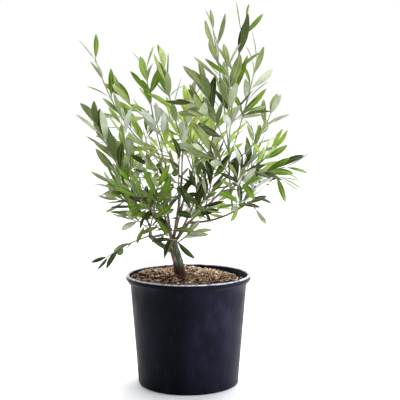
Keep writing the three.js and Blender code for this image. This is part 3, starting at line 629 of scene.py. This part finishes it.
class Pile:
    """Points and faces gathered for one mesh, in millimetres."""

    def __init__(self):
        self.points, self.faces, self.slots = [], [], []

    def add(self, points, faces, slots=0):
        first = len(self.points)
        self.points += points
        self.faces += [tuple(first + corner for corner in face) for face in faces]
        self.slots += [slots] * len(faces) if isinstance(slots, int) else slots

    def build(self, name, *materials):
        """The mesh as a smooth object that moves with the plant's one body."""
        mesh = bpy.data.meshes.new(name)
        mesh.from_pydata([mul(point, MM) for point in self.points], [], self.faces)
        mesh.polygons.foreach_set("material_index", self.slots)
        mesh.validate()
        for material in materials:
            mesh.materials.append(material)
        return place(name, mesh)


def place(name, mesh):
    mesh.polygons.foreach_set("use_smooth", [True] * len(mesh.polygons))
    mesh.update()
    piece = bpy.data.objects.new(name, mesh)
    bpy.context.scene.collection.objects.link(piece)
    return piece


def ring_faces(rings, sides):
    """Quads between closed rings of points."""
    faces = []
    for ring in range(rings - 1):
        for side in range(sides):
            a, b = ring * sides + side, ring * sides + (side + 1) % sides
            faces.append((a, b, b + sides, a + sides))
    return faces


def closed_faces(rings, sides):
    """Quads between rings of points, with one face over the first ring and one over the last."""
    last = (rings - 1) * sides
    return ring_faces(rings, sides) + [tuple(reversed(range(sides))), tuple(range(last, last + sides))]


def add_rod(pile, curve, radius_at, sides, steps, before=0.0):
    """A closed round rod along a reach, lengthened before its foot, with a domed end."""
    points = []
    stations = [(0, -before, 1)] + [(i / steps, 0, 1) for i in range(1, steps)]
    stations += [(1, rise * radius_at(1), width) for rise, width in ((0, 1), *DOME)]
    for t, shift, swell in stations:
        heading, side, back = curve.frame(t)
        centre = add(curve.point(t), mul(heading, shift))
        for k in range(sides):
            outward = turned(side, back, 2 * math.pi * k / sides)
            points.append(add(centre, mul(outward, radius_at(t) * swell)))
    pile.add(points, closed_faces(len(stations), sides))


def add_twig(pile, twig):
    """A twig with a slight swelling where each pair of leaves stands."""
    nodes = [between(twig.bare, LEAF.last_pair, k / (twig.pairs - 1)) for k in range(twig.pairs)]

    def radius_at(t):
        nearest = min(abs(t - node) for node in nodes) * twig.curve.span
        swelling = TWIG.swell * math.exp(-((nearest / TWIG.node) ** 2))
        return between(twig.foot, twig.end, t) * (1 + swelling)

    steps = max(TWIG.least, round(twig.curve.span / TWIG.step))
    add_rod(pile, twig.curve, radius_at, TWIG.sides, steps)


def blade_half(s):
    """Half of a blade's width at s, as a share of its widest half. Its foot narrows to a short stalk."""
    u = (s - BLADE.stalk) / (1 - BLADE.stalk)
    return 0 if u <= 0 else math.sin(math.pi * u**BLADE.lean) ** BLADE.fullness


def add_leaf(pile, leaf, roll):
    """A leathery blade: folded along a pale midrib, its edges curled under, a little twisted and bent."""
    fold, curl = roll(*BLADE.fold), roll(*BLADE.curl)
    twist = roll(-BLADE.twist, BLADE.twist) * DEGREE
    sabre = roll(-BLADE.sabre, BLADE.sabre) * leaf.length
    half_width = leaf.width / 2 * BLADE.full * leaf.slender
    across = cross(leaf.up, leaf.way)
    points = []
    for s in BLADE.stations:
        half = max(BLADE.stalk_half if s < 1 else BLADE.tip, half_width * blade_half(s))
        bend = leaf.arch * s
        way = turned(leaf.way, mul(leaf.up, -1), bend)
        up = turned(leaf.up, leaf.way, bend)
        side = turned(across, up, twist * s)
        up = cross(way, side)
        middle = add(leaf_point(leaf, s), mul(across, sabre * math.sin(math.pi * s)))
        fullness = min(1, half / half_width * BLADE.thickening)
        thick = BLADE.thick * (BLADE.edge + (1 - BLADE.edge) * fullness)
        rib = min(BLADE.rib, half * BLADE.rib_share) / half
        # Round the blade: how far across, of its half width, and how far up, of its half thickness
        section = ((-1, 0), (-0.5, 1), (-rib, 0.7), (rib, 0.7), (0.5, 1), (1, 0),
                   (0.45, -0.7), (0, -1.6), (-0.45, -0.7))
        for q, lift in section:
            rise = half * (fold * abs(q) - curl * q**4) + thick * lift / 2
            points.append(add(middle, add(mul(side, q * half), mul(up, rise))))
    sides, last = len(BLADE_SLOTS), len(BLADE.stations) - 1
    faces = [(b, a, d, c) for a, b, c, d in ring_faces(last + 1, sides)]
    faces.append(tuple(range(sides)))
    faces.append(tuple(reversed(range(last * sides, (last + 1) * sides))))
    pile.add(points, faces, [*BLADE_SLOTS * last, UNDER, UPPER])


def arc(centre, radius, start, end, steps):
    """Outline points round a centre, from one angle to another in degrees."""
    points = []
    for i in range(steps + 1):
        angle = between(start, end, i / steps) * DEGREE
        points.append((centre[0] + radius * math.cos(angle), centre[1] + radius * math.sin(angle)))
    return points


def ring_points(radius, level, count):
    """Points round the pot's axis."""
    turns = [2 * math.pi * k / count for k in range(count)]
    return [(radius * math.cos(turn), radius * math.sin(turn), level) for turn in turns]


def capped_faces(rings, sides):
    """Quads between rings of points, with a fan to the one point before them and to the one after them."""
    faces = [tuple(1 + corner for corner in face) for face in ring_faces(rings, sides)]
    last = 1 + (rings - 1) * sides
    for k in range(sides):
        after = (k + 1) % sides
        faces.append((0, 1 + after, 1 + k))
        faces.append((last + k, last + after, last + sides))
    return faces


def add_turned(pile, outline, facets):
    """A closed solid turned about the pot's axis. The outline starts and ends on the axis."""
    points = [(0, 0, outline[0][1])]
    for radius, level in outline[1:-1]:
        points += ring_points(radius, level, facets)
    points.append((0, 0, outline[-1][1]))
    pile.add(points, capped_faces(len(outline) - 2, facets))


def applied(piece):
    """The piece's mesh with its modifiers worked into it."""
    shown = piece.evaluated_get(bpy.context.evaluated_depsgraph_get())
    mesh = bpy.data.meshes.new_from_object(shown)
    bpy.data.objects.remove(piece)
    return mesh


def make_pot(plastic):
    """The turned shell with its rolled lip, groove and rounded foot, less the drain notches."""
    foot, inside = POT.foot - POT.foot_round, POT.foot - POT.wall
    ring, edge, rim = foot - POT.ring, POT.edge, POT.lip_round
    outline = [(0, POT.lift), (ring - POT.slope, POT.lift), (ring, 0), (foot, 0)]
    outline += arc((foot, POT.foot_round), POT.foot_round, start=-80, end=-5, steps=6)
    outline += [(between(POT.foot, POT.neck, share), between(POT.wall_level, POT.neck_level, share))
                for share in (i / POT.wall_steps for i in range(POT.wall_steps + 1))]
    outline += arc((POT.lip - edge, POT.lip_level + edge), edge, start=-50, end=0, steps=4)
    outline += arc((POT.lip - rim, POT.height - rim), rim, start=0, end=90, steps=8)
    outline += arc((POT.lip - POT.lip_top, POT.height - edge), edge, start=90, end=175, steps=5)
    outline += [(POT.neck + POT.spread, SOIL.level), (POT.neck - POT.wall, POT.neck_level),
                (inside, POT.floor + POT.floor_round), (inside - POT.floor_round, POT.floor), (0, POT.floor)]
    shell, cutters = Pile(), Pile()
    add_turned(shell, outline, POT.facets)
    pot = shell.build("pot_shell", plastic)
    for i in range(NOTCH.count):
        add_notch(cutters, (NOTCH.turn + i * 360 / NOTCH.count) * DEGREE)
    cutter = cutters.build("notch_cutter")
    cut = pot.modifiers.new("notches", "BOOLEAN")
    cut.operation, cut.object, cut.solver = "DIFFERENCE", cutter, "EXACT"
    mesh = applied(pot)
    bpy.data.objects.remove(cutter)
    mesh.set_sharp_from_angle(angle=POT.sharp * DEGREE)
    return place("pot_shell", mesh)


def add_notch(pile, turn):
    """An arched block through the foot of the wall at turn."""
    half = NOTCH.width / 2
    outline = [(-half, -NOTCH.below), (half, -NOTCH.below)]
    outline += arc((0, NOTCH.height - half), half, start=0, end=180, steps=NOTCH.steps)
    out, along = (math.cos(turn), math.sin(turn)), (-math.sin(turn), math.cos(turn))
    points = []
    for radius in (POT.foot - NOTCH.reach, POT.foot + NOTCH.reach):
        for a, level in outline:
            points.append((radius * out[0] + a * along[0], radius * out[1] + a * along[1], level))
    pile.add(points, closed_faces(2, len(outline)))


def soil_reach(level):
    """How far from the axis the soil reaches at a level: just short of the pot's inner wall."""
    share = (level - POT.neck_level) / (SOIL.level - POT.neck_level)
    return between(POT.neck - POT.wall, POT.neck + POT.spread, share) - SOIL.clear


def soil_height(x, y):
    """The soil's top: lumpy, lower on the right and heaped a little round the trunk."""
    lumps = sum(share * noise.noise(Vector((x * pace, y * pace, layer))) for pace, share, layer in SOIL.waves)
    dip = SOIL.dip * min(1, max(0, (x - SOIL.dip_start) / SOIL.dip_run)) ** SOIL.dip_power
    heap = SOIL.heap * math.exp(-((x - TRUNK_START[0]) ** 2 + y**2) / SOIL.heap_spread)
    return min(SOIL.level - SOIL.sink + heap - dip + SOIL.lumps * lumps, SOIL.level + SOIL.crown)


def make_soil(earth):
    """The filling: a plug that follows the inside of the pot, with a lumpy top."""
    points = [(0, 0, soil_height(0, 0))]
    for ring in range(1, SOIL.rings + 1):
        radius = SOIL.radius * ring / SOIL.rings
        for x, y, _ in ring_points(radius, 0, SOIL.spokes):
            level = soil_height(x, y)
            within = min(1, soil_reach(level) / radius)
            points.append((x * within, y * within, level))
    for wall, level in SOIL.side:
        points += ring_points(wall - POT.wall - SOIL.clear, level, SOIL.spokes)
    points.append((0, 0, SOIL.foot))
    pile = Pile()
    pile.add(points, [face[::-1] for face in capped_faces(SOIL.rings + len(SOIL.side), SOIL.spokes)])
    return pile.build("soil_bed", earth)


def lump_form():
    """The points and faces of a plain twenty-sided lump."""
    form = bmesh.new()
    bmesh.ops.create_icosphere(form, subdivisions=1, radius=1)
    points = [tuple(vertex.co) for vertex in form.verts]
    faces = [tuple(vertex.index for vertex in face.verts) for face in form.faces]
    form.free()
    return points, faces


def scatter_spot(roll):
    """A spot on the soil, clear of the pot's wall."""
    angle, radius = roll(0, 2 * math.pi), (SOIL.radius - CRUMB.margin) * math.sqrt(roll(0, 1))
    return radius * math.cos(angle), radius * math.sin(angle)


def add_crumb(piles, form, roll):
    """A bark chip or crumb: the plain lump, stretched, knocked out of shape and laid on the soil."""
    points, faces = form
    x, y = scatter_spot(roll)
    reach = roll(*CRUMB.reach) * (1 + roll(0, 1) ** CRUMB.rarity * CRUMB.growth)
    stretch = [reach * roll(*limits) for limits in CRUMB.stretch]
    turn, tilt = roll(0, 2 * math.pi), roll(-CRUMB.tilt, CRUMB.tilt)
    ahead = (math.cos(turn) * math.cos(tilt), math.sin(turn) * math.cos(tilt), math.sin(tilt))
    aside = square_to((-math.sin(turn), math.cos(turn), roll(-CRUMB.lean, CRUMB.lean)), ahead)
    axes = (ahead, aside, cross(ahead, aside))
    centre = (x, y, soil_height(x, y) + CRUMB.rise * stretch[2])
    laid = []
    for point in points:
        knock = roll(*CRUMB.knock)
        a, b, c = (mul(axis, value * length) for axis, value, length in zip(axes, point, stretch))
        laid.append(add(centre, mul(add(a, add(b, c)), knock)))
    patch = noise.noise(Vector((x * CRUMB.patches, y * CRUMB.patches, 1)))
    tone = min(1, roll(0, 1) + CRUMB.sorting * patch + CRUMB.slope * y / SOIL.radius)
    piles[next(name for name, (_, total) in EARTHS.items() if tone <= total)].add(laid, faces)


def add_fibre(pile, roll):
    """A bent fibre that lies on the soil."""
    x, y = scatter_spot(roll)
    length, turn = roll(*FIBRE.length), roll(0, 2 * math.pi)
    x, y = x * FIBRE.inset, y * FIBRE.inset
    centre = (x, y, soil_height(x, y) + roll(*FIBRE.lift))
    half = mul(unit((math.cos(turn), math.sin(turn), roll(*FIBRE.slope))), length / 2)
    curve = Reach(sub(centre, half), add(centre, half), tuple(roll(*limits) for limits in FIBRE.bow))
    girth = roll(*FIBRE.girth)
    add_rod(pile, curve, lambda t: girth, FIBRE.sides, FIBRE.steps)


def make_crumbs():
    """Bark chips, crumbs and fibres strewn over the soil, each tone joined into one piece."""
    form, roll = lump_form(), make_dice(CRUMB.seed)
    piles = {name: Pile() for name in EARTHS}
    for _ in range(CRUMB.count):
        add_crumb(piles, form, roll)
    for _ in range(FIBRE.count):
        add_fibre(piles[FIBRE.earth], roll)
    return [pile.build(name, mottled_look(name, "earth", EARTHS[name][0])) for name, pile in piles.items()]


def limb_radius(limb, t):
    """A limb's radius at t, with the trunk's flare or the thickening where a bough leaves its parent."""
    swell = LIMB.flare * (1 - t) ** LIMB.flare_power
    if limb.name != "trunk":
        swell = LIMB.collar * limb.foot * math.exp(-((t * limb.curve.span / LIMB.collar_reach) ** 2))
    return between(limb.foot, limb.end, t) + swell


def make_wood(limbs, bark):
    """Trunk and boughs as one grown-together body, with the grain of the bark raised on it."""
    pile = Pile()
    for limb in limbs.values():
        sides, before = (LIMB.trunk_sides, LIMB.sink) if limb.name == "trunk" else (LIMB.sides, 0)
        steps = max(LIMB.least, round(limb.curve.span / LIMB.step))
        add_rod(pile, limb.curve, lambda t: limb_radius(limb, t), sides, steps, before)
    rough = pile.build("wood_rough")
    fuse = rough.modifiers.new("fuse", "REMESH")
    fuse.mode, fuse.voxel_size = "VOXEL", WOOD_VOXEL * MM
    mesh = applied(rough)
    raise_grain(mesh, limbs)
    mesh.materials.append(bark)
    return place("trunk_and_boughs", mesh)


def raise_grain(mesh, limbs):
    """Moves each point in or out, in long ridges that run along the limb nearest to it."""
    stations = [(limb, k / (AXIS_POINTS - 1)) for limb in limbs.values() for k in range(AXIS_POINTS)]
    axes = np.array([limb.curve.point(t) for limb, t in stations])
    girths = np.array([limb.foot for limb, _ in stations])
    normals = [tuple(vertex.normal) for vertex in mesh.vertices]
    for vertex, normal in zip(mesh.vertices, normals):
        spot = [value / MM for value in vertex.co]
        limb, t = stations[(np.linalg.norm(spot - axes, axis=1) - girths).argmin()]
        heading, side, back = limb.curve.frame(t)
        offset = sub(spot, limb.curve.point(t))
        along = t * limb.curve.span + dot(offset, heading)
        across = (dot(offset, side), dot(offset, back))
        grain = sum(height * noise.noise(Vector((across[0] * pace, across[1] * pace, along * run + start)))
                    for pace, run, start, height in BARK_WAVES)
        vertex.co = mul(add(spot, mul(normal, BARK_RELIEF * limb_radius(limb, t) * grain)), MM)
    mesh.update()


def make_leaves(leaves):
    """Every leaf of a tint in one piece. A spray's leaves have its first tint, or now and then its second."""
    roll = make_dice(BLADE.seed)
    piles = {tint: Pile() for tint in LEAF_TONES}
    for leaf in leaves:
        first, second = leaf.tints
        add_leaf(piles[first if roll(0, 1) < FIRST_TINT else second], leaf, roll)
    pieces = {}
    for tint, tones in LEAF_TONES.items():
        looks = [mottled_look(f"leaf_{tint}_{part}", part, tone) for part, tone in zip(LEAF_PARTS, tones)]
        pieces[tint] = piles[tint].build(f"leaves_{tint}", *looks)
        pieces[tint].data.set_sharp_from_angle(angle=BLADE.sharp * DEGREE)
    return pieces


def add_olive(pile, olive):
    """A plump drupe with a small point."""
    side = square_to((1, 0, 0), olive.way)
    back = cross(olive.way, side)
    rings, sides = OLIVE.rings, OLIVE.sides
    points = []
    for i in range(rings + 1):
        angle = math.pi * i / rings
        along = -math.cos(angle) * OLIVE.length / 2 + (OLIVE.point if i in (0, rings) else 0)
        fullness = math.sin(angle) ** OLIVE.fullness * (1 - OLIVE.taper * math.cos(angle))
        radius = max(OLIVE.least, OLIVE.width / 2 * fullness)
        for k in range(sides):
            outward = turned(side, back, 2 * math.pi * k / sides)
            points.append(add(olive.centre, add(mul(olive.way, along), mul(outward, radius))))
    pile.add(points, closed_faces(rings + 1, sides))


def colour(red, green, blue):
    """A colour as seen on a screen, 0 to 255, turned into the shader's linear light."""
    def linear(value):
        share = value / 255
        return share / 12.92 if share <= 0.04045 else ((share + 0.055) / 1.055) ** 2.4
    return (linear(red), linear(green), linear(blue), 1)


class Look:
    """A material with its shader, and short ways to add the nodes that drive it."""

    def __init__(self, name, roughness, specular):
        self.material = bpy.data.materials.new(name)
        self.material.use_nodes = True
        self.nodes = self.material.node_tree.nodes
        self.links = self.material.node_tree.links
        self.shader = self.nodes["Principled BSDF"]
        self.shader.inputs["Roughness"].default_value = roughness
        self.shader.inputs["Specular IOR Level"].default_value = specular
        self.coordinates = self.nodes.new("ShaderNodeTexCoord").outputs

    def node(self, kind, result, linked, **settings):
        """A node with its sockets linked or set, and the socket that gives its result."""
        node = self.nodes.new(f"ShaderNode{kind}")
        for name, source in linked.items():
            self.links.new(source, node.inputs[name])
        for name, value in settings.items():
            node.inputs[name.replace("_", " ")].default_value = value
        return node.outputs[result] if result else node

    def axes(self, kind):
        """The X, Y and Z of the object's own places, or of their normals."""
        return self.node("SeparateXYZ", None, {"Vector": self.coordinates[kind]}).outputs

    def noise(self, scale, detail=2, stretch=(1, 1, 1)):
        """A noise over the object's own places. scale is in features per metre."""
        places = self.node("Mapping", "Vector", {"Vector": self.coordinates["Object"]}, Scale=stretch)
        return self.node("TexNoise", "Fac", {"Vector": places}, Scale=scale, Detail=detail)

    def ramp(self, source, stops):
        """Tones laid along a value: each stop is its position and its tone as seen on a screen."""
        ramp = self.node("ValToRGB", None, {"Fac": source})
        elements = ramp.color_ramp.elements
        while len(elements) < len(stops):
            elements.new(0.5)
        for element, (position, tone) in zip(elements, stops):
            element.position, element.color = position, colour(*tone)
        return ramp.outputs["Color"]

    def spread(self, source, start, end, low, high):
        """A value spread from its range start to end over low to high."""
        return self.node("MapRange", "Result", {"Value": source},
                         From_Min=start, From_Max=end, To_Min=low, To_Max=high)

    def mix(self, factor, first, second):
        mix = self.nodes.new("ShaderNodeMix")
        mix.data_type = "RGBA"
        for socket, source in (("Factor", factor), ("A", first), ("B", second)):
            self.links.new(source, mix.inputs[socket])
        return mix.outputs["Result"]

    def relief(self, source, strength, depth):
        bump = self.node("Bump", "Normal", {"Height": source}, Strength=strength, Distance=depth * MM)
        self.drive("Normal", bump)

    def drive(self, name, source):
        self.links.new(source, self.shader.inputs[name])


def plastic_look():
    """Black plastic in cloudy patches with upright scuffs, painted lighter and blue-grey towards the right as
    painted light, and with a painted highlight along the lip's top.
    """
    look = Look("pot_plastic", roughness=0.4, specular=0.05)
    axes = look.axes("Object")
    clouds = look.noise(26, detail=4, stretch=(1, 1, 0.6))
    # Painted light: towards the right the pot is painted lighter and blue-grey
    painted_light = look.spread(axes["X"], *PAINTED_LIGHT_SPAN, low=0, high=1)
    body = look.mix(painted_light, look.ramp(clouds, PLASTIC_OWN_TONE), look.ramp(clouds, PLASTIC_PAINTED_LIGHT))
    streaks = look.noise(150, detail=5, stretch=(1, 1, 0.22))
    scuffs = look.spread(streaks, start=0.6, end=0.8, low=0, high=0.16)
    scuffed = look.mix(scuffs, body, look.ramp(look.noise(90, detail=3), PLASTIC_SCUFF))
    # Painted highlight: a pale band along the top of the lip
    top = look.spread(axes["Z"], *LIP_HIGHLIGHT_BAND, low=0, high=1)
    lip_highlight = look.ramp(look.noise(160, detail=4), PLASTIC_PAINTED_HIGHLIGHT)
    look.drive("Base Color", look.mix(top, scuffed, lip_highlight))
    sheen = look.noise(55, detail=4, stretch=(1, 1, 0.5))
    look.drive("Roughness", look.spread(sheen, start=0.3, end=0.7, low=0.3, high=0.5))
    look.relief(look.noise(700), strength=0.12, depth=0.3)
    return look.material


def mottled_look(name, kind, tone):
    """A tone in lighter and darker patches."""
    roughness, specular, patches, stops, relief = MOTTLED[kind]
    look = Look(name, roughness, specular)
    tones = [(position, [min(255, channel * share) for channel in tone]) for position, share in stops]
    look.drive("Base Color", look.ramp(look.noise(*patches), tones))
    if kind == "upper":
        look.drive("Roughness", look.spread(look.noise(130), start=0.3, end=0.7, low=0.36, high=0.5))
    if relief:
        scale, detail, strength, depth = relief
        look.relief(look.noise(scale, detail), strength, depth)
    return look.material


def bark_look():
    """Young olive bark: grey-green on the right, reddish with pale streaks on the left, dark at the soil."""
    look = Look("olive_bark", roughness=0.8, specular=0.25)
    grain = look.noise(260, detail=5, stretch=(1, 1, 0.22))
    left = look.spread(look.axes("Normal")["X"], start=-0.35, end=0.1, low=1, high=0)
    height = look.axes("Object")["Z"]
    above = look.spread(height, *TRUNK_FORK, low=0, high=1)
    below = look.spread(height, *TRUNK_FOOT, low=1, high=0)
    stops = (BARK_GREEN, BARK_RED, BARK_BROWN, BARK_FOOT)
    green, red, brown, foot = (look.ramp(grain, tones) for tones in stops)
    look.drive("Base Color", look.mix(below, look.mix(above, look.mix(left, green, red), brown), foot))
    look.relief(look.noise(520, detail=4, stretch=(1, 1, 0.3)), strength=0.5, depth=0.5)
    return look.material


def olive_look():
    look = Look("olive_fruit", roughness=0.32, specular=0.5)
    specks = look.noise(1300, detail=1)
    look.drive("Base Color", look.ramp(specks, OLIVE_SKIN))
    look.relief(specks, strength=0.1, depth=0.2)
    return look.material


def floor_look():
    look = Look("studio_floor", roughness=0.9, specular=0.1)
    look.shader.inputs["Base Color"].default_value = (0.98, 0.98, 0.98, 1)
    return look.material


def set_up(name, data, turn, spot=(0, 0, 0)):
    """Puts a camera or lamp in the scene."""
    stand = bpy.data.objects.new(name, data)
    stand.location, stand.rotation_euler = spot, turn
    bpy.context.scene.collection.objects.link(stand)
    return stand


def add_camera():
    camera = bpy.data.cameras.new("camera")
    camera.sensor_width, camera.lens, camera.clip_end = CAMERA.sensor, CAMERA.focal, CAMERA.range
    turn = ((90 - CAMERA.pitch) * DEGREE, 0, 0)
    bpy.context.scene.camera = set_up("camera", camera, turn, mul(CAMERA.place, MM))


def add_softbox(name, spot, aim, width, height, power, tone):
    lamp = bpy.data.lights.new(name, "AREA")
    lamp.shape, lamp.size, lamp.size_y = "RECTANGLE", width, height
    lamp.energy, lamp.color = power, tone
    set_up(name, lamp, (Vector(aim) - Vector(spot)).to_track_quat("-Z", "Y").to_euler(), spot)


def add_studio():
    """A white world, a pale floor, a broad light overhead and soft lamps behind, beside and in front."""
    world = bpy.data.worlds.new("studio")
    world.use_nodes = True
    nodes, links = world.node_tree.nodes, world.node_tree.links
    backdrop, ambient = nodes["Background"], nodes.new("ShaderNodeBackground")
    for background, strength in ((backdrop, 1), (ambient, WORLD_LIGHT)):
        background.inputs["Color"].default_value = (*WHITE, 1)
        background.inputs["Strength"].default_value = strength
    seen, both = nodes.new("ShaderNodeLightPath"), nodes.new("ShaderNodeMixShader")
    sources = (seen.outputs["Is Camera Ray"], ambient.outputs[0], backdrop.outputs[0])
    for source, socket in zip(sources, both.inputs):
        links.new(source, socket)
    links.new(both.outputs[0], nodes["World Output"].inputs["Surface"])
    bpy.context.scene.world = world
    floor = Pile()
    corners = ((-1, -1), (1, -1), (1, 1), (-1, 1))
    floor.add([(a * FLOOR_REACH, b * FLOOR_REACH, -FLOOR_DROP) for a, b in corners], [(0, 1, 2, 3)])
    floor.build("studio_floor", floor_look())
    overhead = bpy.data.lights.new("overhead", "SUN")
    overhead.energy, overhead.angle = OVERHEAD.light, OVERHEAD.spread * DEGREE
    set_up("overhead", overhead, [angle * DEGREE for angle in OVERHEAD.lean])
    for name, lamp in LAMPS.items():
        add_softbox(name, *lamp)
    bpy.context.scene.view_settings.view_transform = "Standard"


def settle(piece, slot, *nodes):
    """The piece moves with the plant and stands for any nodes named; slot is not used."""
    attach(piece, "root")
    if nodes:
        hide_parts(*nodes)


add_camera()
add_studio()
shoots = read_shoots()
limbs, twigs, leaves, olives = grow_plant(shoots)

settle(make_pot(plastic_look()), "pot", "pot")
settle(make_soil(mottled_look("soil_bed", "earth", SOIL_TONE)), "soil", "soil")
for crumbs in make_crumbs():
    settle(crumbs, "soil")
settle(make_wood(limbs, bark_look()), "bark", *limbs)

twig_piles = {name: Pile() for name in TWIG_TONES}
for twig in twigs:
    add_twig(twig_piles["twigs_brown" if twig.tints[0] in BROWN_TWIGS else "twigs_green"], twig)
for name, pile in twig_piles.items():
    settle(pile.build(name, mottled_look(name, "twig", TWIG_TONES[name])), "bark")
for tint, piece in make_leaves(leaves).items():
    settle(piece, "foliage", *(f"{shoot.name}_foliage" for shoot in shoots if shoot.tints[0] == tint))
fruit, stalks = Pile(), Pile()
for olive in olives:
    add_olive(fruit, olive)
    hang = Reach(olive.root, olive.centre, (0, 0, 0))
    add_rod(stalks, hang, lambda t: OLIVE.stalk_girth, TWIG.sides, OLIVE.stalk_steps)
settle(fruit.build("olives", olive_look()), "foliage")
settle(stalks.build("olive_stalks", mottled_look("stalk", "twig", STALK_TONE)), "foliage")

bpy.context.view_layer.update()
